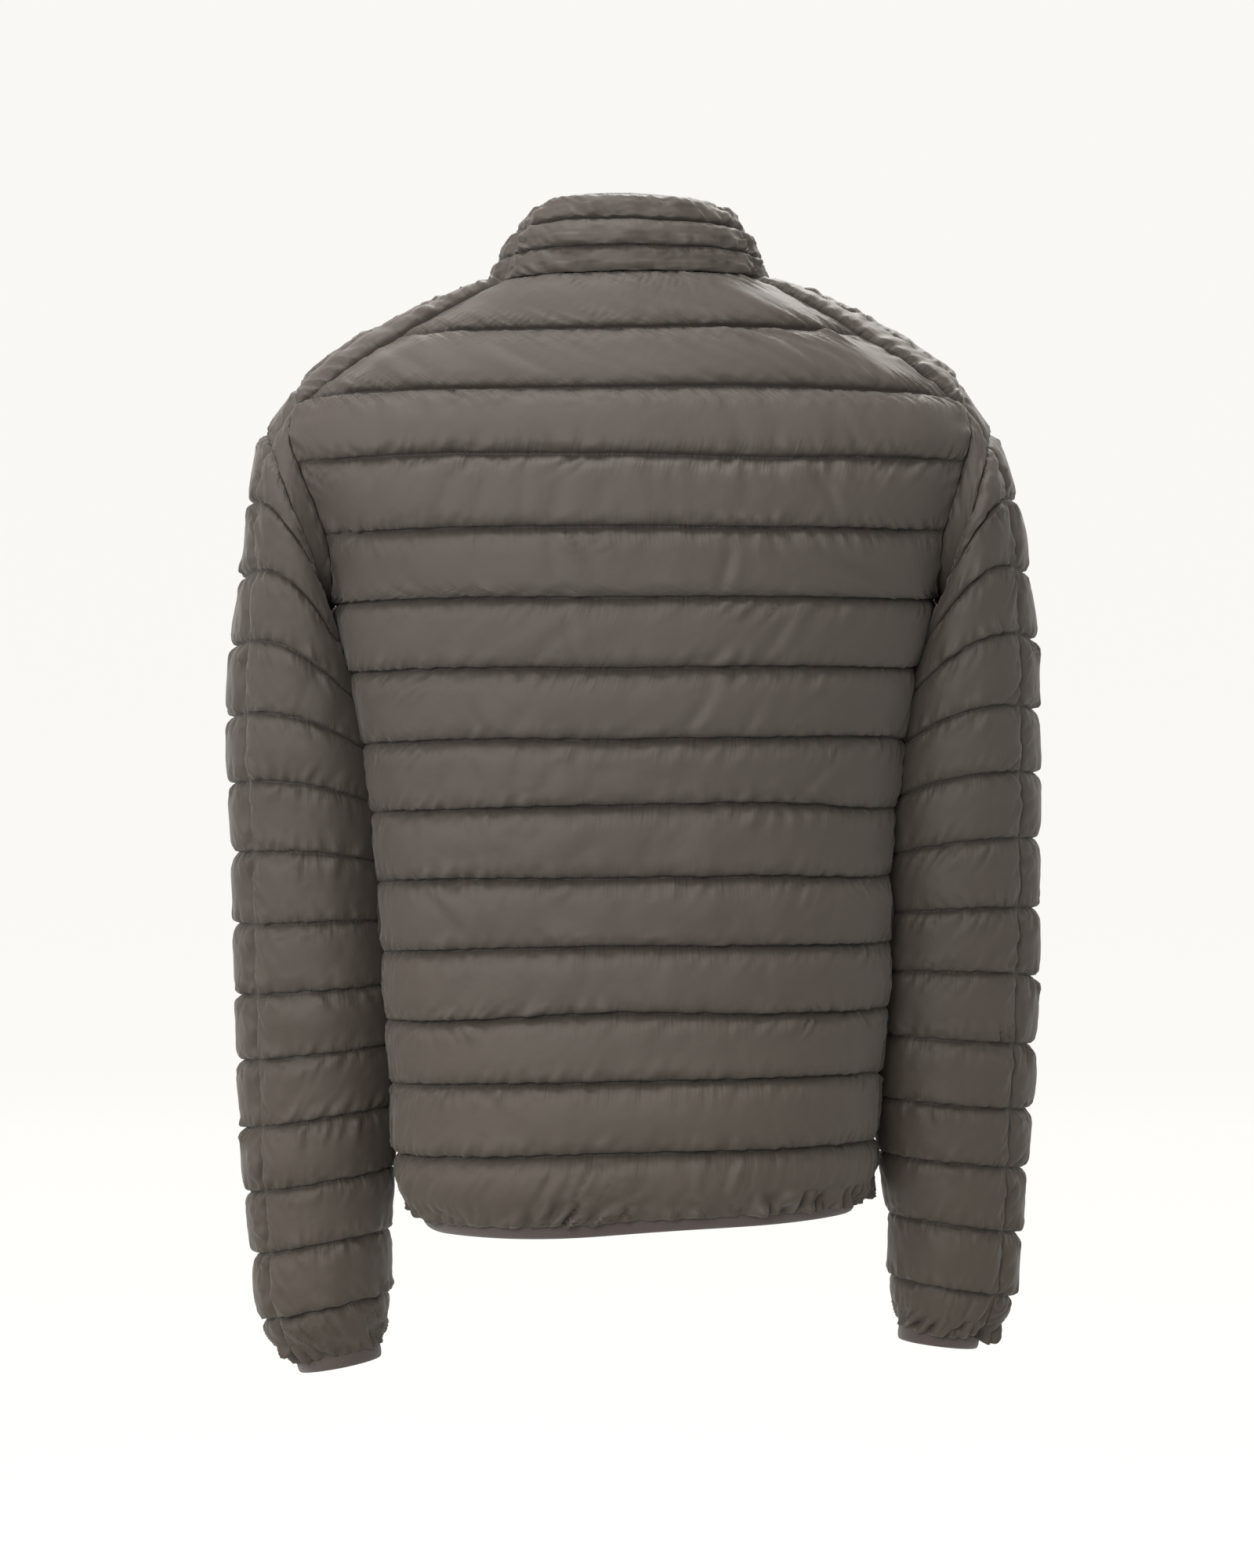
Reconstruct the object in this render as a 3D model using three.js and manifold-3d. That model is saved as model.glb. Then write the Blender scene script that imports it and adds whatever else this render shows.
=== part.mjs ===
import * as THREE from 'three';
import Module from 'manifold-3d';
import { mergeVertices } from 'three/addons/utils/BufferGeometryUtils.js';

// Quilted puffer jacket, filled out as worn. Millimetres, +Z up, the front faces -Y and the
// wearer's left is +X. The origin is the middle of the neck at the height of the neck points.
// Each panel is a wall whose outer side is stitched along the base surface and rises in
// channels between the lines of stitches, over a plain inner side.

const WALL = 2;
const SEAM_GAP = 0.46;
const LOOP_GAP = 1.7;
const RIM_BEVEL = 1.5;
const BODY_PUFF = 9;
const SLEEVE_PUFF = 8;
const YOKE_PUFF = 7;
const COLLAR_PUFF = 6;
const EDGE_TAPER = 26;
const BODY_STEPS = 4;
const SLEEVE_STEPS = 3;

const BACK_COLUMNS = 18;
const FRONT_COLUMNS = 10;
const YOKE_COLUMNS = 9;
const OUTER_SLEEVE_COLUMNS = 10;
const UNDER_SLEEVE_COLUMNS = 12;
const COLLAR_COLUMNS = 10;

const LEAN_TOP = -50;
const LEAN_HEIGHT = 600;
const LEAN_SLOPE = 0.03;
const LEAN_SHIFT = 5;

// Torso sections on the stitched surface, one row a level.
const TORSO = [
  { z: 6, width: 94, back: 60, front: 48, roundness: 1.8 },
  { z: -12, width: 118, back: 68, front: 59, roundness: 1.85 },
  { z: -40, width: 180, back: 81, front: 72, roundness: 2.0 },
  { z: -65, width: 219, back: 92, front: 86, roundness: 2.1 },
  { z: -89, width: 241, back: 101, front: 98, roundness: 2.2 },
  { z: -109, width: 248, back: 108, front: 107, roundness: 2.3 },
  { z: -129, width: 242, back: 113, front: 114, roundness: 2.35 },
  { z: -150, width: 231, back: 116, front: 120, roundness: 2.4 },
  { z: -172, width: 219, back: 118, front: 124, roundness: 2.4 },
  { z: -201, width: 206, back: 119, front: 127, roundness: 2.4 },
  { z: -228, width: 197, back: 119, front: 128, roundness: 2.4 },
  { z: -260, width: 188, back: 118, front: 128, roundness: 2.4 },
  { z: -310, width: 177, back: 116, front: 125, roundness: 2.4 },
  { z: -360, width: 170, back: 114, front: 122, roundness: 2.4 },
  { z: -403, width: 166, back: 113, front: 120, roundness: 2.4 },
  { z: -454, width: 163, back: 113, front: 120, roundness: 2.4 },
  { z: -501, width: 160, back: 114, front: 121, roundness: 2.4 },
  { z: -547, width: 157, back: 116, front: 122, roundness: 2.4 },
  { z: -594, width: 153, back: 116, front: 121, roundness: 2.4 },
  { z: -625, width: 146, back: 110, front: 114, roundness: 2.4 },
  { z: -650, width: 143, back: 108, front: 112, roundness: 2.4 },
];

// Lines of stitches across the body, with how far each hangs lower at the side seam.
const BODY_LINES = [
  { z: -37, drop: 2 },
  { z: -78, drop: 3 },
  { z: -123, drop: 2 },
  { z: -169, drop: 2 },
  { z: -215, drop: 2 },
  { z: -261, drop: 2 },
  { z: -308, drop: 3 },
  { z: -354, drop: 3 },
  { z: -400, drop: 3 },
  { z: -445, drop: 3 },
  { z: -490, drop: 3 },
  { z: -535, drop: 3 },
  { z: -580, drop: 2 },
  { z: -622, drop: 0 },
];
const FRONT_FIRST_LINE = 1;

// Neck seam from centre back to centre front, left side.
const NECKLINE = [
  { along: 0, x: 0, y: 62, z: 4 },
  { along: 0.2, x: 53, y: 53, z: 3 },
  { along: 0.36, x: 83, y: 31, z: 0 },
  { along: 0.5, x: 90, y: 2, z: -4 },
  { along: 0.64, x: 83, y: -32, z: -14 },
  { along: 0.8, x: 51, y: -68, z: -41 },
  { along: 0.92, x: 26, y: -85, z: -62 },
  { along: 1, x: 6, y: -88, z: -70 },
];
const COLLAR_TOP = [
  { along: 0, x: 0, y: 50, z: 54 },
  { along: 0.2, x: 34, y: 44, z: 53 },
  { along: 0.36, x: 54, y: 25, z: 50 },
  { along: 0.5, x: 61, y: -4, z: 44 },
  { along: 0.64, x: 58, y: -38, z: 34 },
  { along: 0.8, x: 38, y: -73, z: 16 },
  { along: 0.92, x: 21, y: -88, z: 4 },
  { along: 1, x: 6, y: -92, z: -2 },
];
const COLLAR_SEAM = 0.37;
const COLLAR_CHANNELS = 3;
const COLLAR_BULGE = 5;

const YOKE_BACK_END = 0.36;
const YOKE_FRONT_END = 0.64;
const YOKE_CHANNELS = 3;
const YOKE_CORNER_Z = -89;

// Top of the shoulder, from the neck to the armhole.
const SHOULDER = [
  { along: 0, x: 90, y: 2, z: -4 },
  { along: 0.3, x: 124, y: 2, z: -14 },
  { along: 0.6, x: 165, y: 1, z: -34 },
  { along: 1, x: 220, y: 0, z: -68 },
];
const ARMHOLE = { middle: -140, height: 75, depth: 58 };
const SIDE_SEAM_TURN = THREE.MathUtils.degToRad(6);

// Sleeve rings, a row for each line of stitches: the outermost and innermost points seen from
// behind, the ring's middle and half depth from back to front, and how far its back rises.
const SLEEVE_RINGS = [
  { outerX: 243, outerZ: -103, innerX: 211, innerZ: -226, middle: 0, depth: 65, bow: 10 },
  { outerX: 256, outerZ: -149, innerX: 208, innerZ: -240, middle: -2, depth: 68, bow: 26 },
  { outerX: 262, outerZ: -198, innerX: 204, innerZ: -264, middle: -5, depth: 67, bow: 26 },
  { outerX: 268, outerZ: -244, innerX: 198, innerZ: -290, middle: -8, depth: 64, bow: 18 },
  { outerX: 270, outerZ: -290, innerX: 191, innerZ: -320, middle: -11, depth: 61, bow: 13 },
  { outerX: 271, outerZ: -335, innerX: 185, innerZ: -354, middle: -14, depth: 58, bow: 8 },
  { outerX: 270, outerZ: -381, innerX: 181, innerZ: -391, middle: -17, depth: 56, bow: 4 },
  { outerX: 270, outerZ: -428, innerX: 178, innerZ: -429, middle: -20, depth: 54, bow: 0 },
  { outerX: 269, outerZ: -474, innerX: 175, innerZ: -469, middle: -23, depth: 52, bow: 0 },
  { outerX: 267, outerZ: -521, innerX: 173, innerZ: -512, middle: -26, depth: 51, bow: 0 },
  { outerX: 265, outerZ: -566, innerX: 172, innerZ: -554, middle: -29, depth: 50, bow: 0 },
  { outerX: 262, outerZ: -609, innerX: 171, innerZ: -595, middle: -31, depth: 48, bow: 0 },
  { outerX: 258, outerZ: -652, innerX: 171, innerZ: -637, middle: -33, depth: 46, bow: 0 },
  { outerX: 253, outerZ: -695, innerX: 172, innerZ: -680, middle: -34, depth: 42, bow: 0 },
  { outerX: 233, outerZ: -724, innerX: 179, innerZ: -716, middle: -35, depth: 28, bow: 0 },
];
const SLEEVE_BACK_SEAM = THREE.MathUtils.degToRad(42);
const SLEEVE_FRONT_SEAM = THREE.MathUtils.degToRad(-100);
const ARMPIT_FULLNESS = 0.2;
const HEAD_FULLNESS = 0.5;

const HEM_STATIONS = 48;
const CUFF_STATIONS = 20;
const CHAIN_SHORT = 7;
const TAPE_DEPTH = WALL + 1.5;
const FRONT_TURN = 0.0134;

const BINDING_HEIGHT = 11;
const BINDING_THICK = 4.5;
const CUFF_BINDING_THICK = 4;

const FRONT_EDGE = 6.5;
const TAPE_INNER = 3.4;
const TAPE_OUTER = 13;
const TAPE_THICK = 1;
const CHAIN_WIDTH = 6;
const CHAIN_THICK = 2.6;
const HARD_GAP = 0.3;
const SLIDER = { width: 9, length: 11, plate: 1.4, top: 4 };
const BAIL = { width: 2.2, height: 7.6, rise: 4.6, wall: 1.2 };
const PULL = { width: 6.4, length: 30, thick: 1.2, bar: 1.4, side: 1.3, window: 6 };

// Value of one named column of a table at a place along another, on a smooth curve.
function column(rows, key, name, at) {
  const rising = rows[rows.length - 1][key] > rows[0][key] ? 1 : -1;
  let index = 0;
  while (index < rows.length - 2 && (at - rows[index + 1][key]) * rising > 0) {
    index += 1;
  }
  const start = rows[index];
  const end = rows[index + 1];
  const before = rows[Math.max(index - 1, 0)];
  const after = rows[Math.min(index + 2, rows.length - 1)];
  const span = end[key] - start[key];
  const t = THREE.MathUtils.clamp((at - start[key]) / span, 0, 1);
  const startSlope = (end[name] - before[name]) / (end[key] - before[key]) * span;
  const endSlope = (after[name] - start[name]) / (after[key] - start[key]) * span;
  const t2 = t * t;
  const t3 = t2 * t;
  return (2 * t3 - 3 * t2 + 1) * start[name] + (t3 - 2 * t2 + t) * startSlope
    + (3 * t2 - 2 * t3) * end[name] + (t3 - t2) * endSlope;
}

function curvePoint(rows, along) {
  return new THREE.Vector3(
    column(rows, 'along', 'x', along),
    column(rows, 'along', 'y', along),
    column(rows, 'along', 'z', along),
  );
}

const mix = THREE.MathUtils.lerp;

// The garment hangs a little lower and further out on the wearer's left.
function lean(point) {
  const share = THREE.MathUtils.clamp((LEAN_TOP - point.z) / LEAN_HEIGHT, 0, 1);
  return new THREE.Vector3(
    point.x - LEAN_SHIFT * share,
    point.y,
    point.z - LEAN_SLOPE * point.x * share,
  );
}

function onSide(point, side) {
  return new THREE.Vector3(point.x * side, point.y, point.z);
}

// Torso surface: the turn is 0 at centre back and half a circle at centre front.
function torso(turn, z) {
  const power = 2 / column(TORSO, 'z', 'roundness', z);
  const depth = Math.cos(turn) >= 0
    ? column(TORSO, 'z', 'back', z)
    : -column(TORSO, 'z', 'front', z);
  return new THREE.Vector3(
    column(TORSO, 'z', 'width', z) * Math.abs(Math.sin(turn)) ** power,
    depth * Math.abs(Math.cos(turn)) ** power,
    z,
  );
}

// Turn at which the torso surface has a given distance from the middle, back or front.
function turnAtDepth(y, z, front) {
  const depth = column(TORSO, 'z', front ? 'front' : 'back', z);
  const roundness = column(TORSO, 'z', 'roundness', z);
  const share = Math.min(Math.abs(y) / depth, 1) ** (roundness / 2);
  return front ? Math.PI - Math.acos(share) : Math.acos(share);
}

// Armhole seam: the turn is 0 at the top, half a circle at the underarm, positive to the back.
function armhole(turn) {
  const z = ARMHOLE.middle + ARMHOLE.height * Math.cos(turn);
  const cornerTurn = Math.acos((YOKE_CORNER_Z - ARMHOLE.middle) / ARMHOLE.height);
  if (Math.abs(turn) < cornerTurn) {
    return yoke(1, 0.5 - 0.5 * turn / cornerTurn);
  }
  return armholeAt(z, Math.sin(turn) < 0);
}

function armholeAt(z, front) {
  const cosine = THREE.MathUtils.clamp((z - ARMHOLE.middle) / ARMHOLE.height, -1, 1);
  const y = ARMHOLE.depth * Math.sqrt(1 - cosine * cosine);
  return torso(turnAtDepth(y, z, front), z);
}

// Yoke seams run from the neck seam to the armhole's corners, in a soft curve.
function yokeSeam(along, front) {
  const start = curvePoint(NECKLINE, front ? YOKE_FRONT_END : YOKE_BACK_END);
  const end = armholeAt(YOKE_CORNER_Z, front);
  const point = start.lerp(end, along);
  point.z += 5 * Math.sin(Math.PI * along);
  return point;
}

// Yoke over the shoulder: along from the neck to the armhole, over from back to front.
function yoke(along, over) {
  const back = yokeSeam(along, false);
  const front = yokeSeam(along, true);
  const top = curvePoint(SHOULDER, along);
  const control = top.multiplyScalar(2).sub(back.clone().add(front).multiplyScalar(0.5));
  return back.multiplyScalar((1 - over) ** 2)
    .add(control.multiplyScalar(2 * over * (1 - over)))
    .add(front.multiplyScalar(over ** 2));
}

// Where a row of the body ends: on the yoke seam, the armhole or the side seam.
function rowEnd(z, front) {
  const top = yokeSeam(0, front).z;
  const bottom = ARMHOLE.middle - ARMHOLE.height;
  if (z > YOKE_CORNER_Z) {
    let along = (z - top) / (YOKE_CORNER_Z - top);
    for (let pass = 0; pass < 12; pass += 1) {
      along += (z - yokeSeam(along, front).z) / (YOKE_CORNER_Z - top);
    }
    const point = yokeSeam(along, front);
    return { point, turn: turnAtDepth(point.y, z, front) };
  }
  if (z > bottom) {
    const point = armholeAt(z, front);
    return { point, turn: turnAtDepth(point.y, z, front) };
  }
  const turn = Math.PI / 2 - SIDE_SEAM_TURN * THREE.MathUtils.smoothstep(bottom - z, 0, 110);
  return { point: torso(turn, z), turn };
}

function lineValue(name, line) {
  const first = Math.floor(Math.min(line, BODY_LINES.length - 1.001));
  return mix(BODY_LINES[first][name], BODY_LINES[first + 1][name], line - first);
}

// Point of the body: across is 0 at the centre and 1 at the side, line counts the stitches.
function bodyRow(across, line, front) {
  const z = lineValue('z', line);
  const sideZ = z - lineValue('drop', line);
  const end = rowEnd(sideZ, front);
  const turn = mix(front ? Math.PI : 0, end.turn, across);
  const point = torso(turn, mix(z, sideZ, across * across));
  const miss = end.point.clone().sub(torso(end.turn, sideZ));
  return point.add(miss.multiplyScalar(across ** 4));
}

// Row above the first full line: from the neck seam down, with its end on the yoke seam.
function topRow(neckAlong, across, bottomAcross, firstLine, share, front) {
  const point = curvePoint(NECKLINE, neckAlong).lerp(bodyRow(bottomAcross, firstLine, front), share);
  const neckEnd = yokeSeam(0, front);
  const bottomEnd = bodyRow(1, firstLine, front);
  const seam = rowEnd(mix(neckEnd.z, bottomEnd.z, share), front).point;
  const miss = seam.sub(neckEnd.lerp(bottomEnd, share));
  return point.add(miss.multiplyScalar(across ** 4));
}

// Back panel: across runs from the right side at -1 to the left side at 1.
function backSurface(across, line) {
  const share = Math.abs(across);
  const side = across < 0 ? -1 : 1;
  const point = line >= 0
    ? bodyRow(share, line, false)
    : topRow(share * YOKE_BACK_END, share, share, 0, line + 1, false);
  return lean(onSide(point, side));
}

// Front panel: across runs from the zip at 0 to the side at 1.
function frontSurface(side, across, line) {
  const bodyAcross = mix(FRONT_TURN, 1, across);
  const first = FRONT_FIRST_LINE;
  const neckAlong = mix(1, YOKE_FRONT_END, across);
  const point = line >= first
    ? bodyRow(bodyAcross, line, true)
    : topRow(neckAlong, across, bodyAcross, first, (line - first + 2) / 2, true);
  point.x = mix(FRONT_EDGE, point.x, THREE.MathUtils.smoothstep(across, 0, 0.15));
  return lean(onSide(point, side));
}

function yokeSurface(side, along, over) {
  return lean(onSide(yoke(along, over), side));
}

// Sleeve rings count lines of stitches, with the armhole before the first.
function ringPoint(index, turn) {
  if (index < 0) {
    return armhole(turn);
  }
  const ring = SLEEVE_RINGS[Math.min(index, SLEEVE_RINGS.length - 1)];
  const share = 0.5 + 0.5 * Math.cos(turn);
  return new THREE.Vector3(
    mix(ring.innerX, ring.outerX, share),
    ring.middle + ring.depth * Math.sin(turn),
    mix(ring.innerZ, ring.outerZ, share) + ring.bow * Math.sin(turn) ** 2,
  );
}

function sleeveSurface(side, turn, ring) {
  const last = SLEEVE_RINGS.length - 1;
  const first = Math.min(Math.floor(ring), last - 1);
  const t = ring - first;
  const t2 = t * t;
  const t3 = t2 * t;
  const start = ringPoint(first, turn);
  const end = ringPoint(first + 1, turn);
  const startSlope = first < 0
    ? end.clone().sub(start)
    : end.clone().sub(ringPoint(first - 1, turn)).multiplyScalar(0.5);
  const endSlope = first + 1 === last
    ? end.clone().sub(start)
    : ringPoint(first + 2, turn).sub(start).multiplyScalar(0.5);
  const point = start.multiplyScalar(2 * t3 - 3 * t2 + 1)
    .add(startSlope.multiplyScalar(t3 - 2 * t2 + t))
    .add(end.multiplyScalar(3 * t2 - 2 * t3))
    .add(endSlope.multiplyScalar(t3 - t2));
  return lean(onSide(point, side));
}

// Collar between the neck seam at 0 and its top edge at 1.
function collarSurface(side, along, up) {
  const point = curvePoint(NECKLINE, along).lerp(curvePoint(COLLAR_TOP, along), up);
  const outward = new THREE.Vector3(point.x, point.y + 15, 0).normalize();
  point.add(outward.multiplyScalar(COLLAR_BULGE * Math.sin(Math.PI * up) * (1 - along ** 6)));
  return lean(onSide(point, side));
}

// Height of a channel between two lines of stitches, and its fade towards a panel's edge.
function channel(line) {
  return Math.sin(Math.PI * (line - Math.floor(line))) ** 0.6;
}

function fade(distance, width) {
  const share = THREE.MathUtils.clamp(distance / width, 0, 1);
  return Math.sqrt(1 - (1 - share) ** 2);
}

// Wall with a stitched outer side: lines is the number of channels up the panel.
function panel({ columns, channels, steps, point, puff, outward, startGap = SEAM_GAP }) {
  const rows = channels * steps;
  const grid = [];
  for (let row = 0; row <= rows; row += 1) {
    grid.push([]);
    for (let col = 0; col <= columns; col += 1) {
      grid[row].push(point(col / columns, row / steps));
    }
  }
  const normalAt = (row, col) => {
    const across = grid[row][Math.min(col + 1, columns)].clone()
      .sub(grid[row][Math.max(col - 1, 0)]);
    const up = grid[Math.min(row + 1, rows)][col].clone()
      .sub(grid[Math.max(row - 1, 0)][col]);
    return across.cross(up).normalize().multiplyScalar(outward);
  };
  const inset = (row, col, amount) => {
    const place = grid[row][col].clone();
    if (col === 0 || col === columns) {
      const inner = grid[row][col === 0 ? 1 : columns - 1];
      place.add(inner.clone().sub(grid[row][col]).normalize().multiplyScalar(amount));
    }
    if (row === 0 || row === rows) {
      const inner = grid[row === 0 ? 1 : rows - 1][col];
      const extra = row === 0 ? startGap - SEAM_GAP : 0;
      place.add(inner.clone().sub(grid[row][col]).normalize().multiplyScalar(amount + extra));
    }
    return place;
  };
  const vertices = [];
  const outer = [];
  const inner = [];
  for (let row = 0; row <= rows; row += 1) {
    outer.push([]);
    for (let col = 0; col <= columns; col += 1) {
      const height = puff(col / columns, row / steps, grid[row][col]);
      const place = inset(row, col, SEAM_GAP / 2)
        .add(normalAt(row, col).multiplyScalar(height));
      outer[row].push(vertices.push(place) - 1);
    }
  }
  for (let line = 0; line <= channels; line += 1) {
    inner.push([]);
    const row = line * steps;
    for (let col = 0; col <= columns; col += 1) {
      const place = inset(row, col, SEAM_GAP / 2 + RIM_BEVEL)
        .sub(normalAt(row, col).multiplyScalar(WALL));
      inner[line].push(vertices.push(place) - 1);
    }
  }
  const faces = [];
  const quad = (a, b, c, d) => faces.push([a, b, c], [a, c, d]);
  for (let row = 0; row < rows; row += 1) {
    for (let col = 0; col < columns; col += 1) {
      quad(outer[row][col], outer[row][col + 1], outer[row + 1][col + 1], outer[row + 1][col]);
    }
  }
  for (let line = 0; line < channels; line += 1) {
    for (let col = 0; col < columns; col += 1) {
      quad(inner[line][col], inner[line + 1][col], inner[line + 1][col + 1], inner[line][col + 1]);
    }
    for (const col of [0, columns]) {
      const rim = [];
      for (let step = 0; step < steps; step += 1) {
        const row = line * steps + step;
        rim.push([inner[line][col], outer[row][col], outer[row + 1][col]]);
      }
      rim.push([inner[line][col], outer[(line + 1) * steps][col], inner[line + 1][col]]);
      rim.forEach((face) => faces.push(col === 0 ? face : [face[0], face[2], face[1]]));
    }
  }
  for (let col = 0; col < columns; col += 1) {
    quad(inner[0][col], inner[0][col + 1], outer[0][col + 1], outer[0][col]);
    quad(inner[channels][col + 1], inner[channels][col], outer[rows][col], outer[rows][col + 1]);
  }
  return closedGeometry(vertices, faces);
}

// Band swept round a loop: each station holds the same number of section points.
function band(stations, closed) {
  const vertices = stations.flat();
  const size = stations[0].length;
  const count = stations.length;
  const faces = [];
  const spans = closed ? count : count - 1;
  for (let station = 0; station < spans; station += 1) {
    const here = station * size;
    const next = ((station + 1) % count) * size;
    for (let corner = 0; corner < size; corner += 1) {
      const turn = (corner + 1) % size;
      faces.push([here + corner, next + corner, next + turn], [here + corner, next + turn, here + turn]);
    }
  }
  if (!closed) {
    for (let corner = 1; corner < size - 1; corner += 1) {
      const end = (count - 1) * size;
      faces.push([0, corner, corner + 1], [end, end + corner + 1, end + corner]);
    }
  }
  return closedGeometry(vertices, faces);
}

// Closed mesh with its faces pointing out, turned round if its volume comes out negative.
function closedGeometry(vertices, faces) {
  let volume = 0;
  for (const [a, b, c] of faces) {
    volume += vertices[a].dot(vertices[b].clone().cross(vertices[c]));
  }
  const index = faces.flatMap(([a, b, c]) => (volume > 0 ? [a, b, c] : [a, c, b]));
  const geometry = new THREE.BufferGeometry();
  const positions = vertices.flatMap((vertex) => vertex.toArray());
  geometry.setAttribute('position', new THREE.Float32BufferAttribute(positions, 3));
  geometry.setIndex(index);
  geometry.computeVertexNormals();
  return geometry;
}

const materials = {
  shell: { color: 0x6a635c, roughness: 0.55, metalness: 0 },
  knit: { color: 0x4e443d, roughness: 0.9, metalness: 0 },
  tape: { color: 0x5a524b, roughness: 0.85, metalness: 0 },
  metal: { color: 0x4a4643, roughness: 0.4, metalness: 0.8 },
};

const jacket = new THREE.Group();

function add(name, geometry, finish) {
  const mesh = new THREE.Mesh(geometry, new THREE.MeshStandardMaterial(materials[finish]));
  mesh.name = name;
  jacket.add(mesh);
  return mesh;
}

// Columns crowd towards both edges, where the channels fade.
function crowd(share) {
  return share - 0.07 * Math.sin(2 * Math.PI * share);
}

function buildBack() {
  const channels = BODY_LINES.length;
  const across = (share) => 2 * crowd(share) - 1;
  const point = (share, line) => backSurface(across(share), line - 1);
  const puff = (share, line, place) => {
    const edge = (1 - Math.abs(across(share))) * sideWidth(place.z);
    return BODY_PUFF * channel(line) * fade(edge, EDGE_TAPER) * sideFullness(edge, place.z);
  };
  const walls = { columns: BACK_COLUMNS, channels, steps: BODY_STEPS, point, puff, outward: 1 };
  add('back_panel', panel(walls), 'shell');
}

// Half the arc of the body from centre to side, roughly.
function sideWidth(z) {
  return column(TORSO, 'z', 'width', z) * 1.15;
}

// The body is pressed flatter where the sleeve lies beside it.
function sideFullness(edge, z) {
  const near = 1 - THREE.MathUtils.smoothstep(edge, 20, 75);
  const high = THREE.MathUtils.smoothstep(z, -600, -540);
  return 1 - 0.62 * near * high;
}

function buildFront(name, side) {
  const channels = BODY_LINES.length - FRONT_FIRST_LINE + 1;
  const point = (share, line) => frontSurface(side, crowd(share), line + FRONT_FIRST_LINE - 2);
  const puff = (share, line, place) => {
    const across = crowd(share);
    const sideEdge = (1 - across) * sideWidth(place.z);
    const zipEdge = across * sideWidth(place.z);
    const neck = line < 2 ? 0.45 + 0.55 * across : 1;
    return BODY_PUFF * neck * channel(line) * fade(sideEdge, EDGE_TAPER)
      * fade(zipEdge, EDGE_TAPER / 2) * sideFullness(sideEdge, place.z);
  };
  const walls = { columns: FRONT_COLUMNS, channels, steps: BODY_STEPS, point, puff, outward: -side };
  add(name, panel(walls), 'shell');
}

function buildYoke(name, side) {
  const point = (share, line) => yokeSurface(side, crowd(share), line / YOKE_CHANNELS);
  const puff = (share, line) => {
    const edge = Math.min(crowd(share), 1 - crowd(share)) * 150;
    return YOKE_PUFF * channel(line) * fade(edge, EDGE_TAPER);
  };
  const walls = { columns: YOKE_COLUMNS, channels: YOKE_CHANNELS, steps: BODY_STEPS, point, puff };
  add(name, panel({ ...walls, outward: -side }), 'shell');
}

function buildSleeve(name, side, from, to, columns) {
  const channels = SLEEVE_RINGS.length;
  const point = (share, line) => sleeveSurface(side, mix(from, to, share), line - 1);
  const puff = (share, line) => {
    const turn = mix(from, to, share);
    const edge = Math.min(share, 1 - share) * Math.abs(to - from) * 52;
    const inward = Math.max(0, -Math.cos(turn)) ** 2;
    const pressed = mix(1, ARMPIT_FULLNESS, inward);
    const tucked = line < 1 ? HEAD_FULLNESS : 1;
    return SLEEVE_PUFF * channel(line) * fade(edge, EDGE_TAPER / 2) * pressed * tucked;
  };
  const walls = { columns, channels, steps: SLEEVE_STEPS, point, puff, startGap: LOOP_GAP };
  add(name, panel({ ...walls, outward: -side }), 'shell');
}

function buildCollar(name, side, from, to) {
  const point = (share, line) => {
    const along = mix(from, to, crowd(share));
    return collarSurface(along < 0 ? -1 : side, Math.abs(along), line / COLLAR_CHANNELS);
  };
  const puff = (share, line) => {
    const edge = Math.min(crowd(share), 1 - crowd(share)) * Math.abs(to - from) * 190;
    return COLLAR_PUFF * channel(line) * fade(edge, EDGE_TAPER / 2);
  };
  const walls = { columns: COLLAR_COLUMNS, channels: COLLAR_CHANNELS, steps: SLEEVE_STEPS, point, puff };
  add(name, panel({ ...walls, outward: -side, startGap: LOOP_GAP }), 'shell');
}

// Knit band below a row of edge points: outline goes round the folded strip.
function bindingStations(edge, downs, outwards, thick) {
  const half = thick / 2;
  const profile = [
    { out: half - 1, down: 0 },
    { out: half, down: 1.2 },
    { out: half, down: BINDING_HEIGHT - 1.6 },
    { out: half - 1.4, down: BINDING_HEIGHT },
    { out: 1.4 - half, down: BINDING_HEIGHT },
    { out: -half, down: BINDING_HEIGHT - 1.6 },
    { out: -half, down: 1.2 },
    { out: 1 - half, down: 0 },
  ];
  return edge.map((point, index) => profile.map(({ out, down }) => point.clone()
    .add(downs[index].clone().multiplyScalar(down + HARD_GAP))
    .add(outwards[index].clone().multiplyScalar(out - WALL / 2))));
}

// Points round the hem from the zip on the left, over the back, to the zip on the right.
function hemPoint(share, line) {
  const side = share < 0.5 ? 1 : -1;
  const around = 1 - Math.abs(2 * share - 1);
  return around < 0.5
    ? frontSurface(side, around * 2, line)
    : backSurface(side * (2 - around * 2), line);
}

function buildHemBinding() {
  const last = BODY_LINES.length - 1;
  const edge = [];
  const downs = [];
  const outwards = [];
  for (let index = 0; index <= HEM_STATIONS; index += 1) {
    const share = index / HEM_STATIONS;
    const point = hemPoint(share, last);
    const ahead = hemPoint(Math.min(share + 0.004, 1), last);
    const behind = hemPoint(Math.max(share - 0.004, 0), last);
    const down = point.clone().sub(hemPoint(share, last - 0.2)).normalize();
    edge.push(point);
    downs.push(down);
    outwards.push(ahead.sub(behind).cross(down).normalize().multiplyScalar(-1));
  }
  add('hem_binding', band(bindingStations(edge, downs, outwards, BINDING_THICK), false), 'knit');
}

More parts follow.
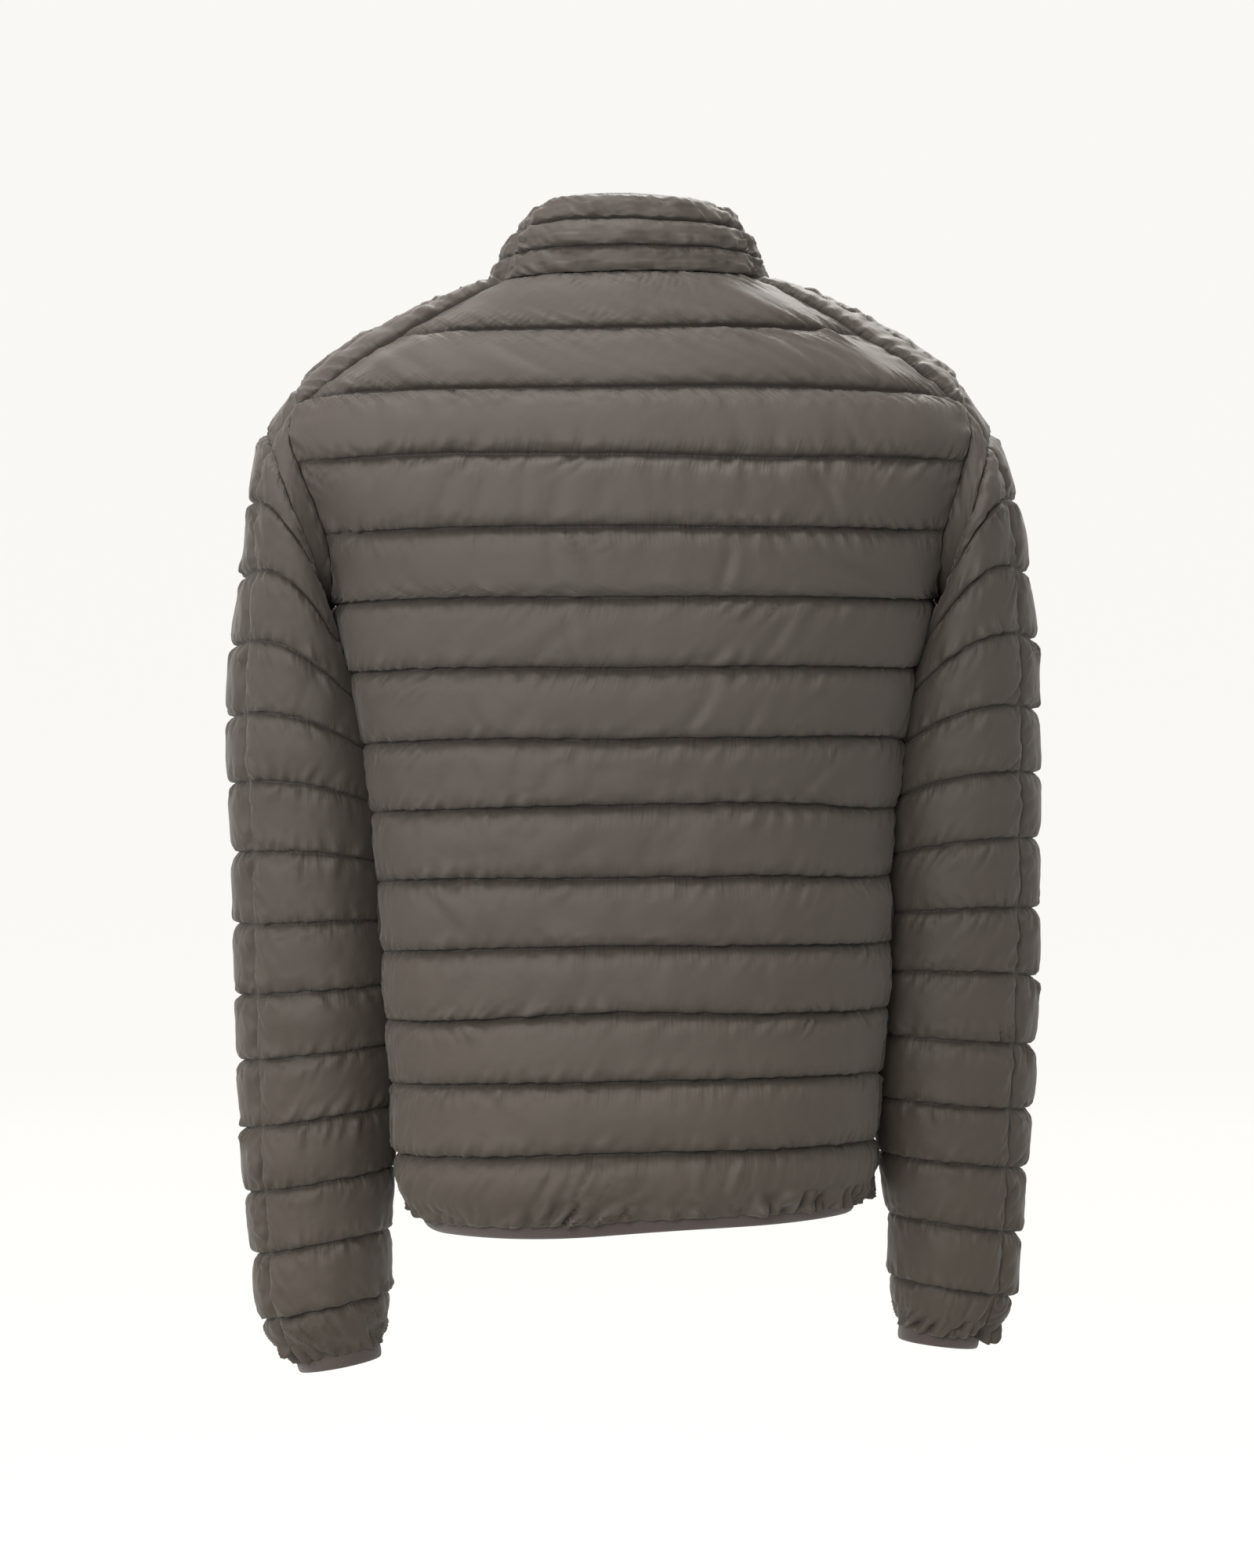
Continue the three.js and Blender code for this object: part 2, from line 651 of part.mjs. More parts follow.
function buildCuffBinding(name, side) {
  const last = SLEEVE_RINGS.length - 1;
  const edge = [];
  const downs = [];
  const outwards = [];
  for (let index = 0; index < CUFF_STATIONS; index += 1) {
    const turn = 2 * Math.PI * index / CUFF_STATIONS;
    const point = sleeveSurface(side, turn, last);
    const middle = sleeveSurface(side, turn, last).add(sleeveSurface(side, turn + Math.PI, last))
      .multiplyScalar(0.5);
    const above = sleeveSurface(side, 0, last).sub(sleeveSurface(side, Math.PI, last));
    const down = new THREE.Vector3(0, side, 0).cross(above).normalize();
    edge.push(point);
    downs.push(down.z > 0 ? down.negate() : down);
    outwards.push(point.clone().sub(middle).normalize());
  }
  const stations = bindingStations(edge, downs, outwards, CUFF_BINDING_THICK);
  add(name, band(stations, true), 'knit');
}

// Centre front line up the panels' edges and the collar's, with the way out of each point.
function zipPath() {
  const middle = (left, right) => left.add(right).multiplyScalar(0.5);
  const points = [];
  for (let line = BODY_LINES.length - 1; line >= FRONT_FIRST_LINE - 2; line -= 1) {
    points.push(middle(frontSurface(1, 0, line), frontSurface(-1, 0, line)));
  }
  for (let row = 1; row <= COLLAR_CHANNELS; row += 1) {
    const up = row / COLLAR_CHANNELS;
    points.push(middle(collarSurface(1, 1, up), collarSurface(-1, 1, up)));
  }
  points[0].z += 1;
  points[points.length - 1].z -= 2;
  return points.map((point, index) => {
    const ahead = points[Math.min(index + 1, points.length - 1)];
    const behind = points[Math.max(index - 1, 0)];
    const along = ahead.clone().sub(behind).normalize();
    return { point, outward: new THREE.Vector3(1, 0, 0).cross(along) };
  });
}

// Strip along the centre front with a rectangular section, depths counted inwards.
function frontStrip(path, fromX, toX, nearDepth, farDepth) {
  return band(path.map(({ point, outward }) => {
    const place = (x, depth) => point.clone()
      .add(new THREE.Vector3(x, 0, 0))
      .sub(outward.clone().multiplyScalar(depth));
    return [place(fromX, nearDepth), place(toX, nearDepth), place(toX, farDepth), place(fromX, farDepth)];
  }), false);
}

function buildZip() {
  const path = zipPath();
  for (const [name, side] of [['zip_tape_left', 1], ['zip_tape_right', -1]]) {
    const far = TAPE_DEPTH + TAPE_THICK;
    add(name, frontStrip(path, side * TAPE_INNER, side * TAPE_OUTER, TAPE_DEPTH, far), 'tape');
  }
  const middle = TAPE_DEPTH + TAPE_THICK / 2;
  const top = path[path.length - 1];
  const below = path[path.length - 2];
  const along = top.point.clone().sub(below.point).normalize();
  top.point.sub(along.clone().multiplyScalar(CHAIN_SHORT));
  const half = CHAIN_WIDTH / 2;
  const near = middle - CHAIN_THICK / 2;
  add('zip_chain', frontStrip(path, -half, half, near, near + CHAIN_THICK), 'metal');
  const end = top.point.clone().sub(top.outward.clone().multiplyScalar(middle));
  return { end: end.add(along.clone().multiplyScalar(HARD_GAP)), along };
}

async function loadSolids() {
  const wasm = await Module();
  wasm.setup();
  return wasm;
}

// Closed geometry as a solid, and back.
function toSolid(wasm, geometry) {
  const plain = geometry.clone();
  plain.deleteAttribute('normal');
  plain.deleteAttribute('uv');
  const merged = mergeVertices(plain, 1e-4);
  const vertProperties = new Float32Array(merged.attributes.position.array);
  const triVerts = new Uint32Array(merged.index.array);
  return new wasm.Manifold(new wasm.Mesh({ numProp: 3, vertProperties, triVerts }));
}

function toGeometry(solid) {
  const mesh = solid.getMesh();
  const geometry = new THREE.BufferGeometry();
  geometry.setAttribute('position', new THREE.BufferAttribute(mesh.vertProperties, 3));
  geometry.setIndex(new THREE.BufferAttribute(mesh.triVerts, 1));
  geometry.computeVertexNormals();
  return geometry;
}

// Side outline in Y and Z extruded along X, centred.
function sideExtrusion(points, holes, width) {
  const shape = new THREE.Shape(points.map(([y, z]) => new THREE.Vector2(y, z)));
  holes.forEach((hole) => {
    shape.holes.push(new THREE.Path(hole.map(([y, z]) => new THREE.Vector2(y, z))));
  });
  const geometry = new THREE.ExtrudeGeometry(shape, { depth: width, bevelEnabled: false });
  geometry.translate(0, 0, -width / 2);
  return geometry.applyMatrix4(new THREE.Matrix4().set(0, 0, 1, 0, 1, 0, 0, 0, 0, 1, 0, 0, 0, 0, 0, 1));
}

function block(width, fromY, toY, fromZ, toZ) {
  const geometry = new THREE.BoxGeometry(width, toY - fromY, toZ - fromZ);
  return geometry.translate(0, (fromY + toY) / 2, (fromZ + toZ) / 2);
}

// Slider: two plates round the chain's end, joined above it, with a bail on the front plate.
function buildSlider(wasm, end, along) {
  const inside = CHAIN_THICK / 2 + HARD_GAP;
  const outside = inside + SLIDER.plate;
  const frontPlate = block(SLIDER.width, -outside, -inside, -SLIDER.length, SLIDER.top);
  const backPlate = block(SLIDER.width, inside, outside, -SLIDER.length, SLIDER.top);
  const bridge = block(CHAIN_WIDTH, -outside + 0.2, outside - 0.2, 0, SLIDER.top);
  const seat = -outside + 0.4;
  const tip = -outside - BAIL.rise;
  const top = SLIDER.top - 3;
  const low = top - BAIL.height;
  const corner = 1;
  const outline = [
    [seat, low],
    [tip + corner, low],
    [tip, low + corner],
    [tip, top - corner],
    [tip + corner, top],
    [seat, top],
  ];
  const window = [
    [-outside - 0.2, top - BAIL.wall],
    [tip + BAIL.wall, top - BAIL.wall],
    [tip + BAIL.wall, low + BAIL.wall],
    [-outside - 0.2, low + BAIL.wall],
  ];
  const solid = toSolid(wasm, frontPlate)
    .add(toSolid(wasm, backPlate))
    .add(toSolid(wasm, bridge))
    .add(toSolid(wasm, sideExtrusion(outline, [window], BAIL.width)));
  const mesh = add('zip_slider', toGeometry(solid), 'metal');
  const tilt = Math.atan2(along.y, along.z);
  mesh.rotation.x = -tilt;
  mesh.position.copy(end);
  const pivot = new THREE.Vector3(
    0,
    (-outside - 0.2 + tip + BAIL.wall) / 2,
    low + BAIL.wall + PULL.bar / 2 + HARD_GAP,
  );
  return pivot.applyAxisAngle(new THREE.Vector3(1, 0, 0), -tilt).add(end);
}

// Pull tab: a flat tab hanging from a crossbar through the bail.
function buildPull(pivot) {
  const half = PULL.width / 2;
  const bar = PULL.bar / 2;
  const shape = new THREE.Shape();
  shape.moveTo(-half, bar);
  shape.lineTo(-half, -PULL.length + half);
  shape.absarc(0, -PULL.length + half, half, Math.PI, 2 * Math.PI, false);
  shape.lineTo(half, bar);
  const window = new THREE.Path();
  const side = half - PULL.side;
  window.moveTo(-side, -bar);
  window.lineTo(side, -bar);
  window.lineTo(side, -bar - PULL.window);
  window.lineTo(-side, -bar - PULL.window);
  shape.holes.push(window);
  const geometry = new THREE.ExtrudeGeometry(shape, {
    depth: PULL.thick, bevelEnabled: false, curveSegments: 8,
  });
  geometry.translate(0, 0, -PULL.thick / 2);
  geometry.rotateX(Math.PI / 2);
  const mesh = add('zip_pull', geometry, 'metal');
  mesh.position.copy(pivot);
}

buildBack();
buildFront('front_left', 1);
buildFront('front_right', -1);
buildYoke('yoke_left', 1);
buildYoke('yoke_right', -1);
for (const [name, side] of [['left', 1], ['right', -1]]) {
  buildSleeve(`sleeve_${name}_outer`, side, SLEEVE_FRONT_SEAM, SLEEVE_BACK_SEAM, OUTER_SLEEVE_COLUMNS);
  const around = SLEEVE_FRONT_SEAM + 2 * Math.PI;
  buildSleeve(`sleeve_${name}_under`, side, SLEEVE_BACK_SEAM, around, UNDER_SLEEVE_COLUMNS);
}
buildCollar('collar_back', 1, -COLLAR_SEAM, COLLAR_SEAM);
buildCollar('collar_left', 1, COLLAR_SEAM, 1);
buildCollar('collar_right', -1, COLLAR_SEAM, 1);
buildHemBinding();
buildCuffBinding('cuff_binding_left', 1);
buildCuffBinding('cuff_binding_right', -1);
const solids = await loadSolids();
const zipTop = buildZip();
buildPull(buildSlider(solids, zipTop.end, zipTop.along));

export default jacket;
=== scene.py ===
import math

import bmesh
import bpy
import numpy as np
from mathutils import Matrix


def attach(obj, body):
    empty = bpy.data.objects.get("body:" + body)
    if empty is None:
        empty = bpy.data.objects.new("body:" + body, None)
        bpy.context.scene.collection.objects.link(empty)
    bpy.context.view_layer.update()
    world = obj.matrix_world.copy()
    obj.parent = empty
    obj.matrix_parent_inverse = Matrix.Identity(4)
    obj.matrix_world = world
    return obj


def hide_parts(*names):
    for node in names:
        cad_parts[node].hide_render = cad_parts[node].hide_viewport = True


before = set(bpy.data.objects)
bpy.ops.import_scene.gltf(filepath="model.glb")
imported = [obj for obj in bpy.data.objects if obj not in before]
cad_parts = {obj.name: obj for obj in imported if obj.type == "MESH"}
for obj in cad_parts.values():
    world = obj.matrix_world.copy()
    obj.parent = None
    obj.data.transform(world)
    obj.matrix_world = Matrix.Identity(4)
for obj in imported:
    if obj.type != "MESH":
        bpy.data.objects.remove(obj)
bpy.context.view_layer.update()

# Quilted puffer jacket filled out as worn. Lengths are in millimetres while a piece is being
# cut, and in metres once it is a mesh. The front faces -Y and the wearer's left is +X.

MM = 0.001

WALL = 2.0
SEAM_GAP = 0.2
BODY_PUFF = 9.0
SLEEVE_PUFF = 5.0
YOKE_PUFF = 7.0
COLLAR_PUFF = 6.0
EDGE_TAPER = 26.0
LINING_PUFF = 1.5

LEAN_TOP = -50
LEAN_HEIGHT = 600
LEAN_SLOPE = 0.03
LEAN_SHIFT = 5

ROWS_IN_CHANNEL = 12
INNER_STRIDE = 8

# Columns of each kind of panel.
BACK_COLUMNS = 112
FRONT_COLUMNS = 56
YOKE_COLUMNS = 36
OUTER_SLEEVE_COLUMNS = 36
UNDER_SLEEVE_COLUMNS = 48
COLLAR_COLUMNS = 40

# How much larger the flat cut is than its seams, across and down a channel.
BODY_GROWTH = (0.03, 0.095)
SLEEVE_GROWTH = (0.03, 0.05)
SMALL_GROWTH = (0.03, 0.08)

# Filling of the panels: frames and pressure of the simulation, and the tallest rise.
SIM_FRAMES = 22
SIM_PRESSURE = 40.0
SEED_NOISE = 0.35
MOST_RISE = 10.0

# Stitches of thread along the lines.
STITCH_PITCH = 3.2
STITCH_LENGTH = 2.3
THREAD = 0.25

# Uneven hang of the whole garment, and the dip of the back hem.
HANG = 2.2
HEM_DIP = 6.0

# Puckers, folds and sag of the filled channels.
PUCKER_PITCH = 5.8
PUCKER_HEIGHT = 2.4
SEAM_PUCKER = 2.0
FOLD_HEIGHT = 1.8
SAG = 0.40
PRESSED = 0.86
STITCH_JOG = 0.55
STITCH_DEPTH = 1.5
SEAM_OVERLAP = 3.0

# Knit bindings of hem and cuffs.
BINDING_HEIGHT = 11
BINDING_THICK = 4.5
CUFF_BINDING_THICK = 4
BINDING_GRIP = 2.5
HEM_STATIONS = 360
CUFF_STATIONS = 96

# Zip at the centre front.
CHAIN_SHORT = 7
TAPE_DEPTH = WALL + 1.5
TAPE_INNER = 3.4
TAPE_OUTER = 13
TAPE_THICK = 1
TOOTH_PITCH = 2.6

# Colours of the cloth, with a darker colour painted in as shade in the grooves at the lines of
# stitches, and the heights in metres between which it turns warmer.
NYLON = (0.0432, 0.0352, 0.0294)
# Painted shade: darker colour for the grooves at the lines of stitches.
NYLON_GROOVE_SHADE = (0.022, 0.0175, 0.0145)
LOW_TINT = (1.03, 1.0, 0.92)
KNIT = (0.046, 0.033, 0.029)
LOW_FROM = -0.3
LOW_TO = -0.68

# Round studio, in metres.
FLOOR_LEVEL = -0.95
STUDIO_RADIUS = 8.0
STUDIO_CURVE = 2.0
STUDIO_HEIGHT = 9.0

# Rounding of the hard pieces, and where the random tables start.
SLIDER_BEVEL = 0.25
HANG_SEED = 5
PANEL_SEED = 20

# Camera at the photograph's viewing angle, and the middle that the lights point at, in metres.
LENS = 152.8
CAMERA_PLACE = (0.00265, 3.6, -0.339)
LIGHTS_MIDDLE = (0, 0, -0.34)
LIGHT_COLOUR = (1.0, 0.985, 0.96)


def table(names, rows):
    """Named columns of a short table, a row for each section."""
    values = np.array(rows, dtype=float)
    return {name: values[:, index] for index, name in enumerate(names.split())}


# Torso sections on the stitched surface, one row a level.
TORSO = table("z width back front roundness", [
    (6, 94, 60, 48, 1.8),
    (-12, 118, 68, 59, 1.85),
    (-40, 180, 81, 72, 2.0),
    (-65, 219, 92, 86, 2.1),
    (-89, 241, 101, 98, 2.2),
    (-109, 248, 108, 107, 2.3),
    (-129, 242, 113, 114, 2.35),
    (-150, 231, 116, 120, 2.4),
    (-172, 219, 118, 124, 2.4),
    (-201, 206, 119, 127, 2.4),
    (-228, 199, 119, 128, 2.4),
    (-260, 192, 118, 128, 2.4),
    (-310, 183, 116, 125, 2.4),
    (-360, 177, 114, 122, 2.4),
    (-403, 173, 113, 120, 2.4),
    (-454, 170, 113, 120, 2.4),
    (-501, 167, 114, 121, 2.4),
    (-547, 163, 116, 122, 2.4),
    (-594, 157, 116, 121, 2.4),
    (-625, 146, 110, 114, 2.4),
    (-650, 143, 108, 112, 2.4),
])

# Lines of stitches across the body, with how far each hangs lower at the side seam.
BODY_LINES = table("z drop", [
    (-37, 2),
    (-78, 3),
    (-123, 2),
    (-169, 2),
    (-215, 2),
    (-261, 2),
    (-308, 3),
    (-354, 3),
    (-400, 3),
    (-445, 3),
    (-490, 3),
    (-535, 3),
    (-580, 2),
    (-622, 0),
])
LAST_LINE = len(BODY_LINES["z"]) - 1
FRONT_FIRST_LINE = 1
FRONT_TURN = 0.0134
FRONT_EDGE = 6.5

# Neck seam and the collar's top edge from centre back to centre front, left side.
NECKLINE = table("along x y z", [
    (0, 0, 62, 4),
    (0.2, 53, 53, 3),
    (0.36, 83, 31, 0),
    (0.5, 90, 2, -4),
    (0.64, 83, -32, -14),
    (0.8, 51, -68, -41),
    (0.92, 26, -85, -62),
    (1, 6, -88, -70),
])
COLLAR_TOP = table("along x y z", [
    (0, 0, 50, 54),
    (0.2, 34, 44, 53),
    (0.36, 54, 25, 50),
    (0.5, 61, -4, 44),
    (0.64, 58, -38, 34),
    (0.8, 38, -73, 16),
    (0.92, 21, -88, 4),
    (1, 6, -92, -2),
])
COLLAR_SEAM = 0.37
COLLAR_CHANNELS = 3
COLLAR_BULGE = 5

YOKE_BACK_END = 0.36
YOKE_FRONT_END = 0.64
YOKE_CHANNELS = 3
YOKE_CORNER_Z = -89

# Top of the shoulder, from the neck to the armhole.
SHOULDER = table("along x y z", [
    (0, 90, 2, -4),
    (0.3, 124, 2, -14),
    (0.6, 165, 1, -34),
    (1, 220, 0, -68),
])
ARMHOLE_MIDDLE = -140
ARMHOLE_HEIGHT = 75
ARMHOLE_DEPTH = 58
SIDE_SEAM_TURN = math.radians(6)

# Sleeve rings, a row for each line of stitches: the outermost and innermost points seen from
# behind, the ring's middle and half depth from back to front, and how far its back rises.
SLEEVE_RINGS = table("outer_x outer_z inner_x inner_z middle depth bow", [
    (243, -103, 211, -226, 0, 65, 10),
    (256, -149, 200, -240, -2, 68, 26),
    (262, -198, 189, -264, -5, 67, 26),
    (268, -244, 180, -290, -8, 64, 18),
    (270, -290, 174, -320, -11, 61, 13),
    (271, -335, 170, -354, -14, 58, 8),
    (270, -381, 168, -391, -17, 56, 4),
    (270, -428, 166, -429, -20, 54, 0),
    (269, -474, 163, -469, -23, 52, 0),
    (267, -521, 162, -512, -26, 51, 0),
    (265, -566, 163, -554, -29, 50, 0),
    (262, -609, 166, -595, -31, 48, 0),
    (258, -652, 171, -637, -33, 46, 0),
    (253, -695, 172, -680, -34, 42, 0),
    (233, -724, 179, -716, -35, 28, 0),
])
LAST_RING = len(SLEEVE_RINGS["depth"]) - 1
SLEEVE_BACK_SEAM = math.radians(42)
SLEEVE_FRONT_SEAM = math.radians(-100)
ARMPIT_FULLNESS = 0.2
HEAD_FULLNESS = 0.5

# Drag lines on the back: x and z of the middle, half length, lean in degrees, depth.
BACK_CREASES = [
    (-61, -196, 22, 105, 1.6),
    (-150, -122, 20, 60, 1.5),
    (-130, -150, 26, 70, 1.3),
    (-95, -235, 24, 120, 1.2),
    (-40, -290, 22, 125, 1.3),
    (-72, -300, 20, 115, 1.1),
    (-150, -196, 20, 20, 1.4),
    (-120, -330, 22, 128, 1.0),
    (40, -236, 24, 80, 0.9),
    (95, -300, 20, 60, 0.9),
    (-10, -385, 26, 110, 0.8),
    (120, -420, 22, 50, 0.8),
    (70, -150, 22, 95, 0.8),
]


def smoothstep(value, low, high):
    share = np.clip((value - low) / (high - low), 0, 1)
    return share * share * (3 - 2 * share)


def mix(start, end, share):
    return start + (end - start) * share


def column(rows, key, name, at):
    """Value of one named column at places along another, on a smooth curve."""
    sign = 1 if rows[key][-1] > rows[key][0] else -1
    keys = rows[key] * sign
    places = np.asarray(at, dtype=float) * sign
    values = rows[name]
    last = len(keys) - 1
    index = np.clip(np.searchsorted(keys, places, side="left") - 1, 0, last - 1)
    before = np.maximum(index - 1, 0)
    after = np.minimum(index + 2, last)
    span = keys[index + 1] - keys[index]
    t = np.clip((places - keys[index]) / span, 0, 1)
    start_slope = (values[index + 1] - values[before]) / (keys[index + 1] - keys[before]) * span
    end_slope = (values[after] - values[index]) / (keys[after] - keys[index]) * span
    t2 = t * t
    t3 = t2 * t
    return ((2 * t3 - 3 * t2 + 1) * values[index] + (t3 - 2 * t2 + t) * start_slope
            + (3 * t2 - 2 * t3) * values[index + 1] + (t3 - t2) * end_slope)


def points(x, y, z):
    return np.stack(np.broadcast_arrays(x, y, z), axis=-1).astype(float)


def curve_point(rows, along):
    return points(*[column(rows, "along", name, along) for name in "xyz"])


def lean(place, side):
    """The garment hangs a little lower and further out on the wearer's left."""
    x = place[..., 0] * side
    share = np.clip((LEAN_TOP - place[..., 2]) / LEAN_HEIGHT, 0, 1)
    return points(x - LEAN_SHIFT * share, place[..., 1], place[..., 2] - LEAN_SLOPE * x * share)


def torso(turn, z):
    """Torso surface: the turn is 0 at centre back and half a circle at centre front."""
    power = 2 / column(TORSO, "z", "roundness", z)
    back = column(TORSO, "z", "back", z)
    front = column(TORSO, "z", "front", z)
    depth = np.where(np.cos(turn) >= 0, back, -front)
    x = column(TORSO, "z", "width", z) * np.abs(np.sin(turn)) ** power
    return points(x, depth * np.abs(np.cos(turn)) ** power, z)


def turn_at_depth(y, z, front):
    depth = column(TORSO, "z", "front" if front else "back", z)
    roundness = column(TORSO, "z", "roundness", z)
    turn = np.arccos(np.minimum(np.abs(y) / depth, 1) ** (roundness / 2))
    return math.pi - turn if front else turn


def armhole_at(z, front):
    cosine = np.clip((z - ARMHOLE_MIDDLE) / ARMHOLE_HEIGHT, -1, 1)
    y = ARMHOLE_DEPTH * np.sqrt(1 - cosine * cosine)
    return torso(turn_at_depth(y, z, front), z)


def yoke_seam(along, front):
    """Yoke seams run from the neck seam to the armhole's corners, in a soft curve."""
    start = curve_point(NECKLINE, YOKE_FRONT_END if front else YOKE_BACK_END)
    end = armhole_at(np.array(float(YOKE_CORNER_Z)), front)
    along = np.asarray(along, dtype=float)[..., None]
    place = mix(start, end, along)
    place[..., 2] += 5 * np.sin(math.pi * along[..., 0])
    return place


def yoke(along, over):
    """Yoke over the shoulder: along from the neck to the armhole, over from back to front."""
    back = yoke_seam(along, False)
    front = yoke_seam(along, True)
    control = 2 * curve_point(SHOULDER, along) - (back + front) / 2
    over = np.asarray(over, dtype=float)[..., None]
    return back * (1 - over) ** 2 + control * 2 * over * (1 - over) + front * over ** 2


def armhole(turn):
    """Armhole seam: the turn is 0 at the top and half a circle at the underarm."""
    z = ARMHOLE_MIDDLE + ARMHOLE_HEIGHT * np.cos(turn)
    corner = math.acos((YOKE_CORNER_Z - ARMHOLE_MIDDLE) / ARMHOLE_HEIGHT)
    on_yoke = yoke(np.ones_like(turn), np.clip(0.5 - 0.5 * turn / corner, 0, 1))
    front = (np.sin(turn) < 0)[..., None]
    on_body = np.where(front, armhole_at(z, True), armhole_at(z, False))
    return np.where((np.abs(turn) < corner)[..., None], on_yoke, on_body)


def row_end(z, front):
    """Where a row of the body ends: on the yoke seam, the armhole or the side seam."""
    z = np.asarray(z, dtype=float)
    top = yoke_seam(0.0, front)[2]
    bottom = ARMHOLE_MIDDLE - ARMHOLE_HEIGHT
    along = np.clip((z - top) / (YOKE_CORNER_Z - top), 0, 1)
    for _ in range(12):
        along = along + (z - yoke_seam(along, front)[..., 2]) / (YOKE_CORNER_Z - top)
        along = np.clip(along, 0, 1)
    seam = yoke_seam(along, front)
    hole = armhole_at(z, front)
    side_turn = math.pi / 2 - SIDE_SEAM_TURN * smoothstep(bottom - z, 0, 110)
    high = z > YOKE_CORNER_Z
    middle = z > bottom
    place = np.where(high[..., None], seam, np.where(middle[..., None], hole, torso(side_turn, z)))
    sewn = turn_at_depth(place[..., 1], z, front)
    return place, np.where(high | middle, sewn, side_turn)


def line_value(name, line):
    values = BODY_LINES[name]
    return np.interp(line, np.arange(len(values)), values)


def body_row(across, line, front):
    """Point of the body: across is 0 at the centre and 1 at the side."""
    z = line_value("z", line)
    side_z = z - line_value("drop", line)
    end, end_turn = row_end(side_z, front)
    turn = mix(math.pi if front else 0.0, end_turn, across)
    place = torso(turn, mix(z, side_z, across * across))
    miss = end - torso(end_turn, side_z)
    return place + miss * (across ** 4)[..., None]


def top_row(neck_along, across, bottom_across, first_line, share, front):
    """Rows above the first full line, from the neck seam down."""
    first = np.full_like(across, float(first_line))
    place = mix(curve_point(NECKLINE, neck_along), body_row(bottom_across, first, front),
                share[..., None])
    neck_end = yoke_seam(0.0, front)
    bottom_end = body_row(np.ones_like(across), first, front)
    seam = row_end(mix(neck_end[2], bottom_end[..., 2], share), front)[0]
    miss = seam - mix(neck_end, bottom_end, share[..., None])
    return place + miss * (across ** 4)[..., None]


def back_surface(across, line):
    share = np.abs(across)
    side = np.where(across < 0, -1, 1)
    below = body_row(share, np.maximum(line, 0), False)
    above = top_row(share * YOKE_BACK_END, share, share, 0, np.clip(line + 1, 0, 1), False)
    return lean(np.where((line >= 0)[..., None], below, above), side)


def front_surface(side, across, line):
    body_across = mix(FRONT_TURN, 1, across)
    first = FRONT_FIRST_LINE
    below = body_row(body_across, np.maximum(line, first), True)
    share = np.clip((line - first + 2) / 2, 0, 1)
    above = top_row(mix(1, YOKE_FRONT_END, across), across, body_across, first, share, True)
    place = np.where((line >= first)[..., None], below, above)
    place[..., 0] = mix(FRONT_EDGE, place[..., 0], smoothstep(across, 0, 0.15))
    return lean(place, side)


def ring_point(index, turn):
    ring = {name: values[np.clip(index, 0, LAST_RING)] for name, values in SLEEVE_RINGS.items()}
    share = 0.5 + 0.5 * np.cos(turn)
    place = points(
        mix(ring["inner_x"], ring["outer_x"], share),
        ring["middle"] + ring["depth"] * np.sin(turn),
        mix(ring["inner_z"], ring["outer_z"], share) + ring["bow"] * np.sin(turn) ** 2,
    )
    return np.where((index < 0)[..., None], armhole(turn), place)


def sleeve_surface(side, turn, ring):
    """Sleeve rings count lines of stitches, with the armhole before the first."""
    turn, ring = np.broadcast_arrays(turn, ring)
    first = np.minimum(np.floor(ring), LAST_RING - 1).astype(int)
    t = (ring - first)[..., None]
    start = ring_point(first, turn)
    end = ring_point(first + 1, turn)
    at_head = (first < 0)[..., None]
    at_cuff = (first + 1 == LAST_RING)[..., None]
    start_slope = np.where(at_head, end - start, (end - ring_point(first - 1, turn)) / 2)
    end_slope = np.where(at_cuff, end - start, (ring_point(first + 2, turn) - start) / 2)
    t2 = t * t
    t3 = t2 * t
    place = (start * (2 * t3 - 3 * t2 + 1) + start_slope * (t3 - 2 * t2 + t)
             + end * (3 * t2 - 2 * t3) + end_slope * (t3 - t2))
    return lean(place, side)


def collar_surface(side, along, up):
    """Collar between the neck seam at 0 and its top edge at 1."""
    along, up = np.broadcast_arrays(along, up)
    place = mix(curve_point(NECKLINE, along), curve_point(COLLAR_TOP, along), up[..., None])
    outward = points(place[..., 0], place[..., 1] + 15, 0)
    outward /= np.linalg.norm(outward, axis=-1, keepdims=True)
    bulge = COLLAR_BULGE * np.sin(math.pi * up) * (1 - along ** 6)
    return lean(place + outward * bulge[..., None], side)


def channel(line):
    return np.sin(math.pi * (line - np.floor(line))) ** 0.6


def fade(distance, width):
    share = np.clip(distance / width, 0, 1)
    return np.sqrt(1 - (1 - share) ** 2)


